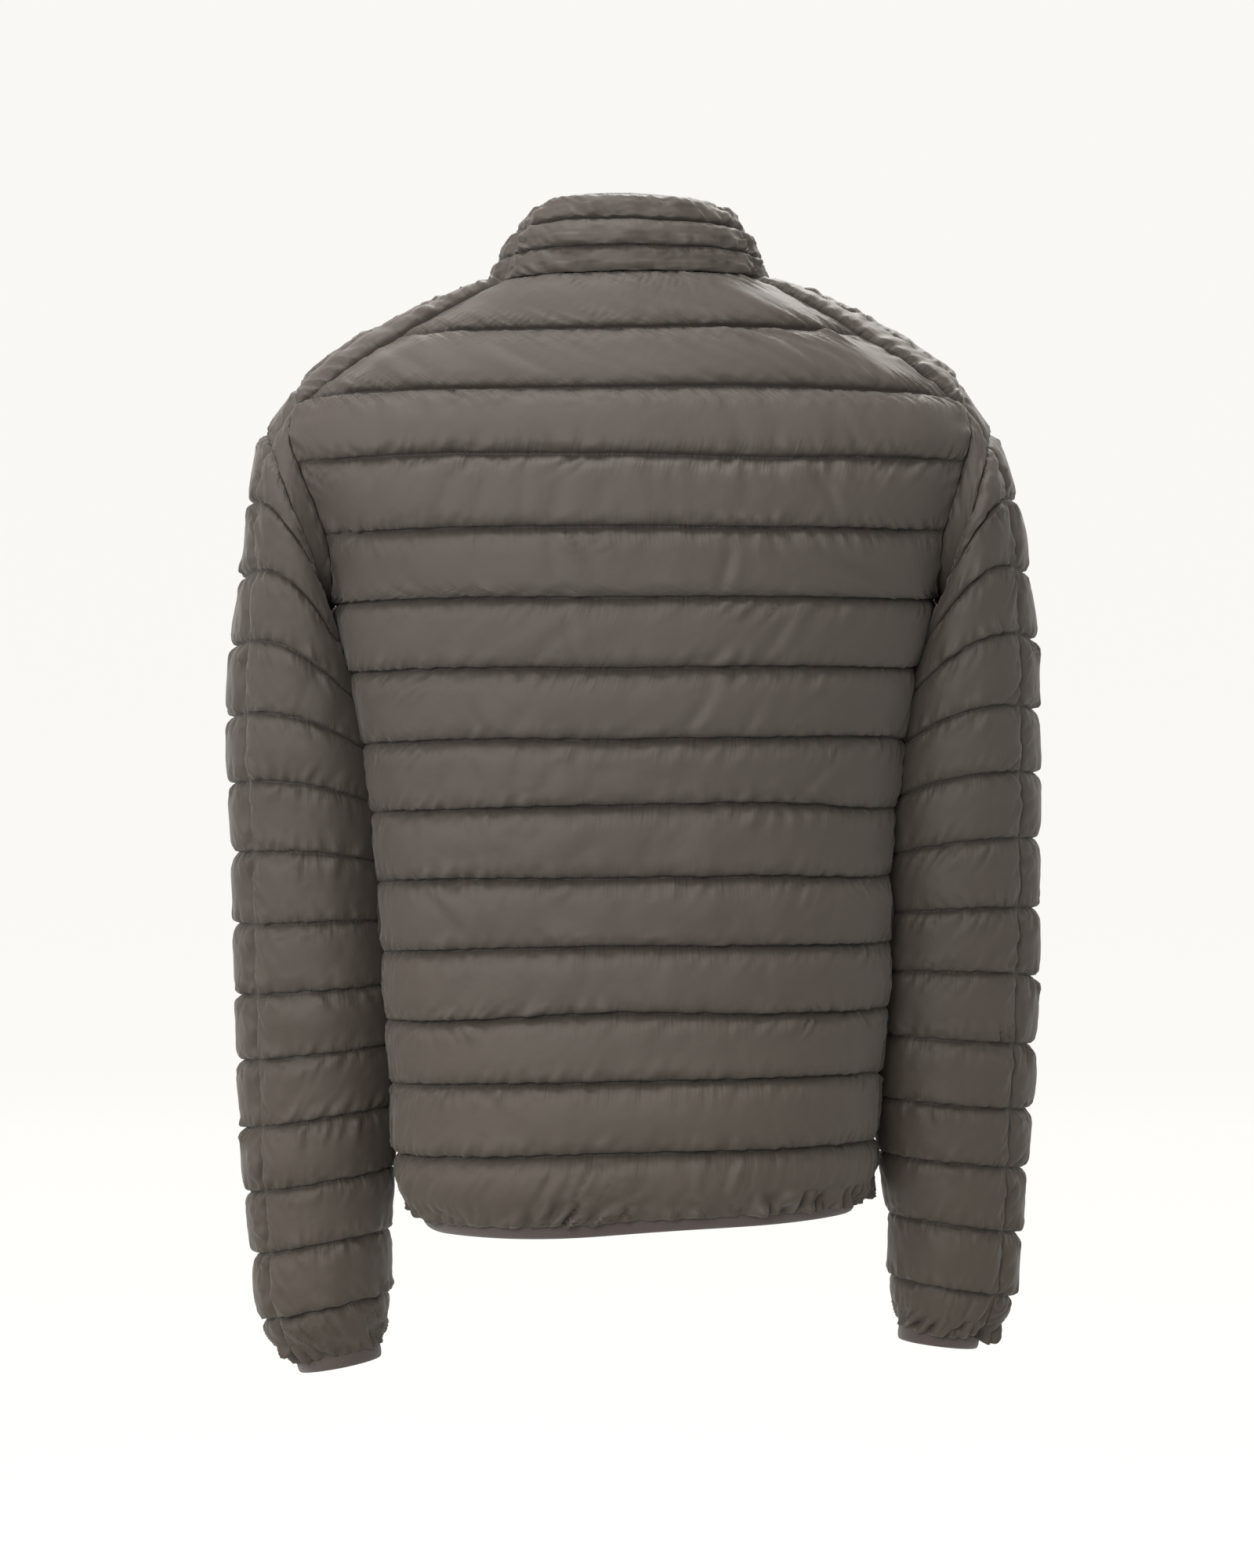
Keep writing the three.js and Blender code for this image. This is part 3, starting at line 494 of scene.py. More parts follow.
class Panel:
    """A padded panel: its stitched base grid, its filled outer grid and how it is to be made."""

    def __init__(self, name, across, lines, surface, puff, outward, grow):
        self.name = name
        u, v = np.meshgrid(across, lines)
        self.across = u
        self.lines = v
        self.base = surface(u, v)
        self.puff = puff(u, v, self.base)
        self.grow = grow
        self.normal = surface_normals(self.base) * outward
        self.flip = outward < 0
        self.last_line = lines[-1]
        self.gathers = 0.0
        self.creases = []
        self.overlap = np.array(SEAM_OVERLAP)
        self.pull_in_edges()
        self.outer = self.base + self.normal * (self.puff * channel(v))[..., None]
        self.pinned = np.isclose(v, np.round(v))
        self.pinned[:, [0, -1]] = True
        self.pinned[[0, -1], :] = True

    def pull_in_edges(self):
        grid = self.base
        for edge, inner in ((0, 1), (-1, -2)):
            inward = grid[:, inner] - grid[:, edge]
            grid[:, edge] += unit(inward) * SEAM_GAP
            inward = grid[inner] - grid[edge]
            grid[edge] += unit(inward) * SEAM_GAP

    def pattern(self):
        """Flat cut of the outer cloth, larger than its seams so that it fills and puckers."""
        along = np.linalg.norm(np.diff(self.base, axis=1), axis=-1)
        down = np.linalg.norm(np.diff(self.base, axis=0), axis=-1)
        fill = np.clip(self.puff / BODY_PUFF, 0, 1) ** 2
        x = np.zeros(self.lines.shape)
        x[:, 1:] = np.cumsum(along * (1 + self.grow[0]), axis=1)
        x -= x[:, -1:] / 2
        y = np.zeros(self.lines.shape)
        y[1:] = np.cumsum(down * (1 + self.grow[1] * fill[1:]), axis=0)
        return points(x, y, 0)


def surface_normals(grid):
    across = np.gradient(grid, axis=1)
    down = np.gradient(grid, axis=0)
    return unit(np.cross(across, down))


def crowd(share):
    """Columns crowd towards both edges, where the channels fade."""
    return share - 0.04 * np.sin(2 * math.pi * share)


def spread(columns):
    return crowd(np.linspace(0, 1, columns + 1))


def channel_lines(first, channels):
    """Rows of a panel, closer together next to each line of stitches."""
    even = np.arange(ROWS_IN_CHANNEL) / ROWS_IN_CHANNEL
    rows = mix(even, 0.5 - 0.5 * np.cos(math.pi * even), 0.55)
    lines = np.arange(channels)[:, None] + rows[None, :]
    return first + np.append(lines.ravel(), channels)


def side_width(z):
    return column(TORSO, "z", "width", z) * 1.15


def side_fullness(edge, z):
    """The body is pressed flatter where the sleeve lies beside it."""
    near = 1 - smoothstep(edge, 20, 75)
    high = smoothstep(z, -600, -540)
    return 1 - 0.62 * near * high


def back_puff(across, line, place):
    edge = (1 - np.abs(across)) * side_width(place[..., 2])
    return BODY_PUFF * fade(edge, EDGE_TAPER) * side_fullness(edge, place[..., 2])


def front_puff(across, line, place):
    width = side_width(place[..., 2])
    side_edge = (1 - across) * width
    neck = np.where(line < 1, 0.45 + 0.55 * across, 1)
    return (BODY_PUFF * neck * fade(side_edge, EDGE_TAPER) * fade(across * width, EDGE_TAPER / 2)
            * side_fullness(side_edge, place[..., 2]))


def yoke_puff(across, line, place):
    edge = np.minimum(across, 1 - across) * 150
    return YOKE_PUFF * fade(edge, EDGE_TAPER)


def collar_puff(first, last):
    def puff(along, line, place):
        edge = np.minimum(along - first, last - along) * 190
        return COLLAR_PUFF * fade(edge, EDGE_TAPER / 2)
    return puff


def sleeve_puff(first, last):
    def puff(turn, line, place):
        edge = np.minimum(turn - first, last - turn) * 52
        inward = np.maximum(0, -np.cos(turn)) ** 2
        tucked = np.where(line < 0, HEAD_FULLNESS, 1)
        return SLEEVE_PUFF * fade(edge, EDGE_TAPER / 2) * mix(1, ARMPIT_FULLNESS, inward) * tucked
    return puff


def cut_panels():
    """Every padded panel of the jacket."""
    panels = [Panel(
        "back_panel", 2 * spread(BACK_COLUMNS) - 1,
        channel_lines(-1, LAST_LINE + 1), back_surface, back_puff, 1, BODY_GROWTH,
    )]
    first = FRONT_FIRST_LINE - 2
    for name, side in (("left", 1), ("right", -1)):
        panels.append(Panel(
            f"front_{name}", spread(FRONT_COLUMNS),
            channel_lines(first, LAST_LINE - first),
            lambda u, v, side=side: front_surface(side, u, v), front_puff, -side, BODY_GROWTH,
        ))
        panels.append(Panel(
            f"yoke_{name}", spread(YOKE_COLUMNS),
            channel_lines(0, YOKE_CHANNELS),
            lambda u, v, side=side: lean(yoke(u, v / YOKE_CHANNELS), side), yoke_puff, -side,
            SMALL_GROWTH,
        ))
        seams = {
            "outer": (SLEEVE_FRONT_SEAM, SLEEVE_BACK_SEAM, OUTER_SLEEVE_COLUMNS),
            "under": (SLEEVE_BACK_SEAM, SLEEVE_FRONT_SEAM + 2 * math.pi, UNDER_SLEEVE_COLUMNS),
        }
        for half, (start, end, columns) in seams.items():
            panels.append(Panel(
                f"sleeve_{name}_{half}",
                mix(start, end, spread(columns)), channel_lines(-1, LAST_RING + 1),
                lambda u, v, side=side: sleeve_surface(side, u, v),
                sleeve_puff(start, end), -side, SLEEVE_GROWTH,
            ))
        panels.append(Panel(
            f"collar_{name}", mix(COLLAR_SEAM, 1, spread(COLLAR_COLUMNS)),
            channel_lines(0, COLLAR_CHANNELS),
            lambda u, v, side=side: collar_surface(side, u, v / COLLAR_CHANNELS),
            collar_puff(COLLAR_SEAM, 1), -side, SMALL_GROWTH,
        ))
    panels.append(Panel(
        "collar_back", mix(-COLLAR_SEAM, COLLAR_SEAM, spread(COLLAR_COLUMNS)),
        channel_lines(0, COLLAR_CHANNELS),
        lambda u, v: collar_surface(np.where(u < 0, -1, 1), np.abs(u), v / COLLAR_CHANNELS),
        collar_puff(-COLLAR_SEAM, COLLAR_SEAM), -1, SMALL_GROWTH,
    ))
    for panel in panels:
        if panel.name.startswith(("back", "front", "sleeve")):
            panel.gathers = 1.0
        if panel.name.startswith("front"):
            panel.overlap = np.array(0.0)
    panels[0].creases = BACK_CREASES
    return panels


def grid_faces(rows, columns):
    index = np.arange(rows * columns).reshape(rows, columns)
    corners = (index[:-1, :-1], index[:-1, 1:], index[1:, 1:], index[1:, :-1])
    return np.stack([corner.ravel() for corner in corners], axis=-1)


def hang_cloth(panel, random):
    """Outer cloth of a panel as a cloth object, pinned along its stitches and seams."""
    rows, columns = panel.lines.shape
    jitter = random.normal(0, SEED_NOISE, (rows, columns)) * ~panel.pinned
    start = (panel.outer + panel.normal * jitter[..., None]) * MM
    mesh = bpy.data.meshes.new(f"{panel.name}_cloth")
    faces = grid_faces(rows, columns)
    if panel.flip:
        faces = faces[:, ::-1]
    mesh.from_pydata(start.reshape(-1, 3).tolist(), [], faces.tolist())
    cloth = bpy.data.objects.new(f"{panel.name}_cloth", mesh)
    bpy.context.scene.collection.objects.link(cloth)
    cloth.shape_key_add(name="placed")
    cut = cloth.shape_key_add(name="cut")
    cut.data.foreach_set("co", (panel.pattern() * MM).ravel())
    pins = cloth.vertex_groups.new(name="stitched")
    pins.add(np.flatnonzero(panel.pinned.ravel()).tolist(), 1.0, "REPLACE")
    modifier = cloth.modifiers.new("fill", "CLOTH")
    settings = modifier.settings
    settings.quality = 5
    settings.mass = 0.15
    settings.tension_stiffness = 15
    settings.compression_stiffness = 15
    settings.shear_stiffness = 3
    settings.bending_stiffness = 0.02
    settings.air_damping = 2
    settings.use_pressure = True
    settings.uniform_pressure_force = SIM_PRESSURE
    settings.effector_weights.gravity = 0
    settings.vertex_group_mass = "stitched"
    settings.rest_shape_key = cut
    modifier.collision_settings.use_collision = False
    modifier.point_cache.frame_start = 1
    modifier.point_cache.frame_end = SIM_FRAMES
    return cloth


def fill_panels(panels):
    """Blows up every panel between its stitches and keeps where its cloth comes to rest."""
    random = np.random.default_rng(7)
    cloths = [hang_cloth(panel, random) for panel in panels]
    scene = bpy.context.scene
    for step in range(1, SIM_FRAMES + 1):
        scene.frame_set(step)
    graph = bpy.context.evaluated_depsgraph_get()
    for panel, cloth in zip(panels, cloths):
        filled = cloth.evaluated_get(graph).to_mesh()
        places = np.empty(len(filled.vertices) * 3)
        filled.vertices.foreach_get("co", places)
        moved = places.reshape(panel.base.shape) / MM - panel.base
        rise = np.sum(moved * panel.normal, axis=-1)
        most = MOST_RISE * panel.puff / BODY_PUFF + 0.5
        panel.outer = panel.base + moved + panel.normal * (np.clip(rise, -0.3, most) - rise)[..., None]
    for cloth in cloths:
        mesh = cloth.data
        bpy.data.objects.remove(cloth)
        bpy.data.meshes.remove(mesh)
    scene.frame_set(1)


def refined_columns(grid):
    """Twice as many columns, on a smooth curve through the ones there are."""
    middle = (9 * (grid[:, 1:-2] + grid[:, 2:-1]) - grid[:, :-3] - grid[:, 3:]) / 16
    first = (3 * grid[:, 0] + 6 * grid[:, 1] - grid[:, 2]) / 8
    last = (3 * grid[:, -1] + 6 * grid[:, -2] - grid[:, -3]) / 8
    between = np.concatenate([first[:, None], middle, last[:, None]], axis=1)
    fine = np.empty((grid.shape[0], 2 * grid.shape[1] - 1, *grid.shape[2:]))
    fine[:, ::2] = grid
    fine[:, 1::2] = between
    return fine


def refined(grid):
    """Twice as many rows and columns, with a sharp fold kept along each line of stitches."""
    wide = refined_columns(grid)
    parts = []
    for start in range(0, len(wide) - 1, ROWS_IN_CHANNEL):
        channel_rows = wide[start:start + ROWS_IN_CHANNEL + 1]
        fine = np.swapaxes(refined_columns(np.swapaxes(channel_rows, 0, 1)), 0, 1)
        parts.append(fine[:-1])
    return np.concatenate([*parts, wide[-1:]])


def sew_lines(panels):
    """A short raised dash of thread for each stitch along the panels' inner lines."""
    corners = []
    for panel in panels:
        rows = np.arange(2 * ROWS_IN_CHANNEL, len(panel.lines) - 1, 2 * ROWS_IN_CHANNEL)
        for row in rows:
            line = panel.outer[row] + panel.normal[row] * THREAD * 0.6
            lengths = np.linalg.norm(np.diff(line, axis=0), axis=-1)
            run = np.concatenate([[0], np.cumsum(lengths)])
            starts = np.arange(1.0, run[-1] - STITCH_LENGTH - 0.5, STITCH_PITCH)
            ends = [np.stack([np.interp(spot, run, line[:, axis]) for axis in range(3)], axis=-1)
                    for spot in (starts, starts + STITCH_LENGTH)]
            out = unit(np.stack([np.interp(starts, run, panel.normal[row, :, axis])
                                 for axis in range(3)], axis=-1))
            across = unit(np.cross(ends[1] - ends[0], out))
            ring = [across, out, -across, -out]
            dash = [end + way * THREAD for end in ends for way in ring]
            corners.append(np.stack(dash, axis=1))
    corners = np.concatenate(corners)
    sides = [(0, 1, 5, 4), (1, 2, 6, 5), (2, 3, 7, 6), (3, 0, 4, 7), (0, 3, 2, 1), (4, 5, 6, 7)]
    first = 8 * np.arange(len(corners))[:, None, None]
    faces = (first + np.array(sides)[None]).reshape(-1, 4)
    thread = new_piece("stitches", corners.reshape(-1, 3) * MM, faces.tolist())
    turn_outwards(thread)
    return thread


class Noise:
    """Smooth noise from -1 to 1 on a plane, from a table of numbers drawn once."""

    def __init__(self, seed):
        self.values = np.random.default_rng(seed).uniform(-1, 1, (256, 256))

    def __call__(self, x, y):
        column_index = np.floor(x).astype(int)
        row_index = np.floor(y).astype(int)
        u = smoothstep(x - column_index, 0, 1)
        v = smoothstep(y - row_index, 0, 1)
        corner = [self.values[(row_index + down) % 256, (column_index + right) % 256]
                  for down in (0, 1) for right in (0, 1)]
        return mix(mix(corner[0], corner[1], u), mix(corner[2], corner[3], u), v)


hang = Noise(HANG_SEED)


def settle(places):
    """Small uneven hang of the whole garment; nothing moves along the zip."""
    x = places[..., 0]
    y = places[..., 1]
    z = places[..., 2]
    beside_zip = np.exp(-(x / 70) ** 2) * (1 - smoothstep(y, -70, -10))
    free = 1 - beside_zip
    round_about = x + 0.8 * y
    sway = HANG * free * hang(round_about / 130 + 40, z / 95 + 60)
    drop = HANG * free * hang(round_about / 105 + 90, z / 60 + 20)
    deep = HANG * free * hang(x / 85 + 140, z / 120 + 170)
    low = smoothstep(-z, 560, 640) * smoothstep(y, 0, 60) * (np.abs(x) < 170)
    drop = drop - HEM_DIP * low * np.exp(-((x - 75) / 95) ** 2)
    return places + points(sway, 0.8 * deep, drop)


def bump_near(distance, reach):
    """Nothing at a seam, most at its reach from it, and dying away further off."""
    return distance / reach * np.exp(1 - distance / reach)


def wrinkle(panel, seed):
    """Doubles the panel's grids, then adds sag, puckers at the stitches and seams, and creases."""
    panel.outer = refined(panel.outer)
    panel.base = refined(panel.base)
    panel.normal = unit(refined(panel.normal))
    panel.puff = refined(panel.puff)
    panel.lines = refined(panel.lines)
    noise = Noise(seed)
    along = np.zeros(panel.lines.shape)
    along[:, 1:] = np.cumsum(np.linalg.norm(np.diff(panel.base, axis=1), axis=-1), axis=1)
    down = np.zeros(panel.lines.shape)
    down[1:] = np.cumsum(np.linalg.norm(np.diff(panel.base, axis=0), axis=-1), axis=0)
    pitch = down[-1:] / (panel.lines[-1, 0] - panel.lines[0, 0])
    line = np.round(panel.lines)
    part = panel.lines - np.floor(panel.lines)
    above = panel.lines > line
    near = np.abs(panel.lines - line) * pitch
    edge = np.minimum(along, along[:, -1:] - along)
    gathered = smoothstep(panel.lines, panel.last_line - 1, panel.last_line) * panel.gathers
    rise = np.sum((panel.outer - panel.base) * panel.normal, axis=-1)
    peak = MOST_RISE * panel.puff / BODY_PUFF + 0.5
    share = np.clip(rise / peak, 0, 1)
    pressed = peak * PRESSED * (1 - (1 - share) ** 2.3)
    panel.outer += panel.normal * (pressed - rise)[..., None]
    rise = pressed

    track = 41.3 * line + 17.7 * above
    slant = 0.9 * noise(along / 55, track + 5.1)
    strength = 0.75 + 0.6 * noise(along / 48, track + 90.2)
    shifted = along + slant * near + 5 * noise(along / 30, track + 63.4)
    pucker = 1.7 * np.abs(noise(shifted / PUCKER_PITCH, track + near / 26)) - 0.6
    pucker += 0.6 * noise(shifted / PUCKER_PITCH * 1.9, track + 7.7 + near / 16)
    reach = 3.6 + 7 * gathered
    lift = PUCKER_HEIGHT * (1 + 2.4 * gathered) * strength * pucker * bump_near(near, reach)

    cross = noise((down + 0.7 * slant * edge) / PUCKER_PITCH, edge / 26 + 133.9)
    swell = np.sin(math.pi * part)
    lift += SEAM_PUCKER * cross * bump_near(edge, 4.5) * swell ** 0.5

    lean_share = noise(down / 160 + 11.3, along / 190)
    fold = noise((along + 26 * lean_share * part) / 24, panel.lines * 0.9 + 31.7)
    fold = 1.5 * np.abs(fold) - 0.5
    calm = 0.5 + 0.5 * noise(along / 120 + 3.3, down / 90 + 8.8)
    lift += FOLD_HEIGHT * calm * fold * swell
    lift += 1.1 * noise(along / 75 + 55.5, panel.lines * 1.3 + 71.2) * swell

    for x, z, length, lean_angle, depth in panel.creases:
        turn = math.radians(lean_angle)
        right = panel.base[..., 0] - x
        up = panel.base[..., 2] - z
        run = right * math.cos(turn) + up * math.sin(turn)
        off = up * math.cos(turn) - right * math.sin(turn)
        body = np.exp(-(run / length) ** 2)
        lift += depth * body * (0.6 * np.exp(-((off - 6) / 5) ** 2) - np.exp(-(off / 3.6) ** 2))

    fill = np.clip(rise / 3, 0, 1)
    soft = np.minimum(1, near / 2.0) * np.minimum(1, edge / 2.0)
    down_way = points(0, 0, -1) + panel.normal * panel.normal[..., 2:]
    sag = SAG * np.maximum(rise, 0)
    jog = STITCH_JOG * noise(along / 4.5, line * 13.1 + 201.3) * np.exp(-near / 5)
    jog *= np.minimum(1, edge / 6)
    panel.outer += panel.normal * (lift * (0.25 + 0.75 * fill) * soft)[..., None]
    panel.outer += down_way * (sag * soft + jog)[..., None]
    sunk = STITCH_DEPTH * np.exp(-near / 1.6) * np.minimum(1, edge / 6)
    panel.outer -= panel.normal * sunk[..., None]
    panel.outer = settle(panel.outer)
    panel.base = settle(panel.base)


def close_panel(panel):
    """Closed wall of a panel: filled cloth outside, plainer lining inside, rims between."""
    rows, columns = panel.lines.shape
    pick = np.ix_(np.arange(0, rows, INNER_STRIDE), np.arange(0, columns, INNER_STRIDE))
    lift = LINING_PUFF * channel(panel.lines) * np.clip(panel.puff / BODY_PUFF, 0, 1)
    lining = (panel.base - panel.normal * (WALL - 0.7 * lift)[..., None])[pick]
    for edge, inner in ((0, 1), (-1, -2)):
        lining[:, edge] += unit(lining[:, edge] - lining[:, inner]) * panel.overlap
        lining[edge] += unit(lining[edge] - lining[inner]) * SEAM_OVERLAP
    along = np.zeros(panel.lines.shape)
    along[:, 1:] = np.cumsum(np.linalg.norm(np.diff(panel.base, axis=1), axis=-1), axis=1) * MM
    spots = np.stack([along, panel.lines], axis=-1)
    outer_index = np.arange(rows * columns).reshape(rows, columns)
    inner_index = rows * columns + np.arange(lining.shape[0] * lining.shape[1])
    inner_index = inner_index.reshape(lining.shape[:2])
    faces = grid_faces(rows, columns).tolist()
    flat = inner_index.ravel()
    faces += flat[grid_faces(*lining.shape[:2])[:, ::-1]].tolist()
    border = (
        (outer_index[0, ::-1], inner_index[0, ::-1]),
        (outer_index[-1], inner_index[-1]),
        (outer_index[:, 0], inner_index[:, 0]),
        (outer_index[::-1, -1], inner_index[::-1, -1]),
    )
    for outside, inside in border:
        for step in range(len(inside) - 1):
            start = step * INNER_STRIDE
            edge = outside[start:start + INNER_STRIDE + 1]
            faces.append([*edge[::-1].tolist(), int(inside[step]), int(inside[step + 1])][::-1])
    if panel.flip:
        faces = [face[::-1] for face in faces]
    places = np.concatenate([panel.outer.reshape(-1, 3), lining.reshape(-1, 3)]) * MM
    uvs = np.concatenate([spots.reshape(-1, 2), spots[pick].reshape(-1, 2)])
    return new_piece(panel.name, places, faces, uvs)


def new_piece(name, places, faces, uvs=None):
    mesh = bpy.data.meshes.new(name)
    mesh.from_pydata(np.asarray(places).tolist(), [], faces)
    mesh.polygons.foreach_set("use_smooth", [True] * len(mesh.polygons))
    if uvs is not None:
        layer = mesh.uv_layers.new(name="cloth")
        corners = np.empty(len(mesh.loops), dtype=int)
        mesh.loops.foreach_get("vertex_index", corners)
        layer.data.foreach_set("uv", uvs[corners].ravel())
    piece = bpy.data.objects.new(name, mesh)
    bpy.context.scene.collection.objects.link(piece)
    return piece


def divide(piece, levels=1):
    modifier = piece.modifiers.new("smooth", "SUBSURF")
    modifier.levels = levels
    modifier.render_levels = levels


def band(name, stations, closed):
    """Strip with the same section at every station, capped at its ends unless it closes."""
    count, corners = stations.shape[:2]
    index = np.arange(count * corners).reshape(count, corners)
    faces = []
    for step in range(count if closed else count - 1):
        here = index[step]
        there = index[(step + 1) % count]
        for corner in range(corners):
            after = (corner + 1) % corners
            faces.append([int(here[corner]), int(here[after]), int(there[after]), int(there[corner])])
    if not closed:
        faces.append(index[0, ::-1].tolist())
        faces.append(index[-1].tolist())
    lengths = np.linalg.norm(np.diff(stations[:, 0], axis=0), axis=-1)
    run = np.concatenate([[0], np.cumsum(lengths)])
    around = np.linspace(0, 1, corners)
    uvs = np.stack(np.meshgrid(around, run * MM), axis=-1).reshape(-1, 2)
    piece = new_piece(name, stations.reshape(-1, 3) * MM, faces, uvs)
    turn_outwards(piece)
    return piece


def turn_outwards(piece):
    shape = bmesh.new()
    shape.from_mesh(piece.data)
    bmesh.ops.recalc_face_normals(shape, faces=shape.faces)
    shape.to_mesh(piece.data)
    shape.free()


def unit(vectors):
    return vectors / np.linalg.norm(vectors, axis=-1, keepdims=True)


def binding_stations(edge, downs, outwards, thick):
    """Folded knit strip hugging a raw edge, in eight rounded corners."""
    half = thick / 2
    corners = [
        (half - 1, 0), (half, 1.2), (half, BINDING_HEIGHT - 1.6), (half - 1.4, BINDING_HEIGHT),
        (1.4 - half, BINDING_HEIGHT), (-half, BINDING_HEIGHT - 1.6), (-half, 1.2), (1 - half, 0),
    ]
    stations = [
        edge + downs * (down - BINDING_GRIP) + outwards * (out - WALL / 2) for out, down in corners
    ]
    return np.stack(stations, axis=1)


def hem_points(share, line):
    """Hem from the zip on the left, over the back, to the zip on the right."""
    side = np.where(share < 0.5, 1, -1)
    around = 1 - np.abs(2 * share - 1)
    lines = np.full_like(share, float(line))
    front = np.where(
        (share < 0.5)[:, None],
        front_surface(1, np.clip(around * 2, 0, 1), lines),
        front_surface(-1, np.clip(around * 2, 0, 1), lines),
    )
    back = back_surface(side * np.clip(2 - around * 2, 0, 1), lines)
    return np.where((around < 0.5)[:, None], front, back)


def sew_hem_binding():
    share = np.linspace(0, 1, HEM_STATIONS + 1)
    edge = hem_points(share, LAST_LINE)
    downs = unit(edge - hem_points(share, LAST_LINE - 0.2))
    ahead = hem_points(np.minimum(share + 0.004, 1), LAST_LINE)
    behind = hem_points(np.maximum(share - 0.004, 0), LAST_LINE)
    outwards = unit(np.cross(ahead - behind, downs)) * -1
    length = np.linalg.norm(np.diff(edge, axis=0), axis=-1).sum()
    stations = settle(binding_stations(edge, downs, outwards, BINDING_THICK))
    return band("hem_knit", stations, False), length


def sew_cuff_binding(name, side):
    turn = np.linspace(0, 2 * math.pi, CUFF_STATIONS, endpoint=False)
    last = np.full_like(turn, float(LAST_RING))
    edge = sleeve_surface(side, turn, last)
    middle = (edge + sleeve_surface(side, turn + math.pi, last)) / 2
    above = edge[0] - edge[CUFF_STATIONS // 2]
    down = unit(np.cross((0, side, 0), above))
    if down[2] > 0:
        down = -down
    outwards = unit(edge - middle)
    length = np.linalg.norm(edge - np.roll(edge, 1, axis=0), axis=-1).sum()
    stations = binding_stations(edge, np.tile(down, (CUFF_STATIONS, 1)), outwards, CUFF_BINDING_THICK)
    return band(name, settle(stations), True), length


def zip_path():
    """Centre front line up the panels' edges and the collar's, with the way out of each point."""
    lines = np.arange(LAST_LINE, FRONT_FIRST_LINE - 3, -1.0)
    edge = np.zeros_like(lines)
    front = (front_surface(1, edge, lines) + front_surface(-1, edge, lines)) / 2
    up = np.arange(1, COLLAR_CHANNELS + 1) / COLLAR_CHANNELS
    top = np.ones_like(up)
    collar = (collar_surface(1, top, up) + collar_surface(-1, top, up)) / 2
    path = np.concatenate([front, collar])
    path[0, 2] += 1
    path[-1, 2] -= 2
    along = path[np.minimum(np.arange(len(path)) + 1, len(path) - 1)]
    along = unit(along - path[np.maximum(np.arange(len(path)) - 1, 0)])
    return path, np.cross((1, 0, 0), along)


def front_strip(name, path, outward, from_x, to_x, near, far):
    corners = ((from_x, near), (to_x, near), (to_x, far), (from_x, far))
    stations = [path + np.array((x, 0, 0)) - outward * depth for x, depth in corners]
    return band(name, np.stack(stations, axis=1), False)


def select_only(*pieces):
    bpy.ops.object.select_all(action="DESELECT")
    for piece in pieces:
        piece.select_set(True)
    bpy.context.view_layer.objects.active = pieces[0]


def model_tooth():
    """One zip tooth: a small box with bevelled edges."""
    bpy.ops.object.select_all(action="DESELECT")
    bpy.ops.mesh.primitive_cube_add(size=1, location=(0, 0, 0))
    tooth = bpy.context.active_object
    tooth.name = "zip_teeth"
    tooth.scale = (4.2 * MM, 2.4 * MM, 1.5 * MM)
    bpy.ops.object.transform_apply(location=False, rotation=False, scale=True)
    bpy.ops.object.mode_set(mode="EDIT")
    bpy.ops.mesh.select_all(action="SELECT")
    bpy.ops.mesh.bevel(offset=0.35 * MM, segments=1, affect="EDGES")
    bpy.ops.object.mode_set(mode="OBJECT")
    return tooth


def model_teeth(path, outward):
    """Rows of teeth in turn from the left tape and the right tape, along the whole front."""
    tooth = model_tooth()
    depth = TAPE_DEPTH + TAPE_THICK / 2
    line = path - outward * depth
    lengths = np.linalg.norm(np.diff(line, axis=0), axis=-1)
    run = np.concatenate([[0], np.cumsum(lengths)])
    places = np.arange(2, run[-1] - CHAIN_SHORT, TOOTH_PITCH / 2)
    copies = [tooth]
    for number, place in enumerate(places):
        copy = tooth if number == 0 else tooth.copy()
        if number:
            copy.data = tooth.data.copy()
            bpy.context.scene.collection.objects.link(copy)
            copies.append(copy)
        spot = [np.interp(place, run, line[:, axis]) for axis in range(3)]
        lean_out = [np.interp(place, run, outward[:, axis]) for axis in range(3)]
        side = 0.9 if number % 2 else -0.9
        copy.location = ((spot[0] + side) * MM, spot[1] * MM, spot[2] * MM)
        copy.rotation_euler = (math.atan2(-lean_out[2], -lean_out[1]), 0, 0)
    select_only(*copies)
    bpy.ops.object.join()
    bpy.ops.object.transform_apply(location=True, rotation=True, scale=True)
    return bpy.context.active_object


def node(kind, tree, inputs=None, **settings):
    made = tree.nodes.new(kind)
    for name, value in settings.items():
        setattr(made, name, value)
    for name, value in (inputs or {}).items():
        made.inputs[name].default_value = value
    return made


def join(tree, start, end):
    tree.links.new(start, end)


def plain_material(name, colour, roughness, metallic=0.0):
    material = bpy.data.materials.new(name)
    material.use_nodes = True
    shader = material.node_tree.nodes["Principled BSDF"]
    shader.inputs["Base Color"].default_value = (*colour, 1)
    shader.inputs["Roughness"].default_value = roughness
    shader.inputs["Metallic"].default_value = metallic
    return material


def step_node(tree, kind, first, second):
    """Arithmetic on one or two values, each a socket or a number."""
    made = tree.nodes.new("ShaderNodeMath")
    made.operation = kind
    for slot, value in zip(made.inputs, (first, second)):
        if value is None:
            continue
        if isinstance(value, (int, float)):
            slot.default_value = value
        else:
            tree.links.new(value, slot)
    return made.outputs[0]


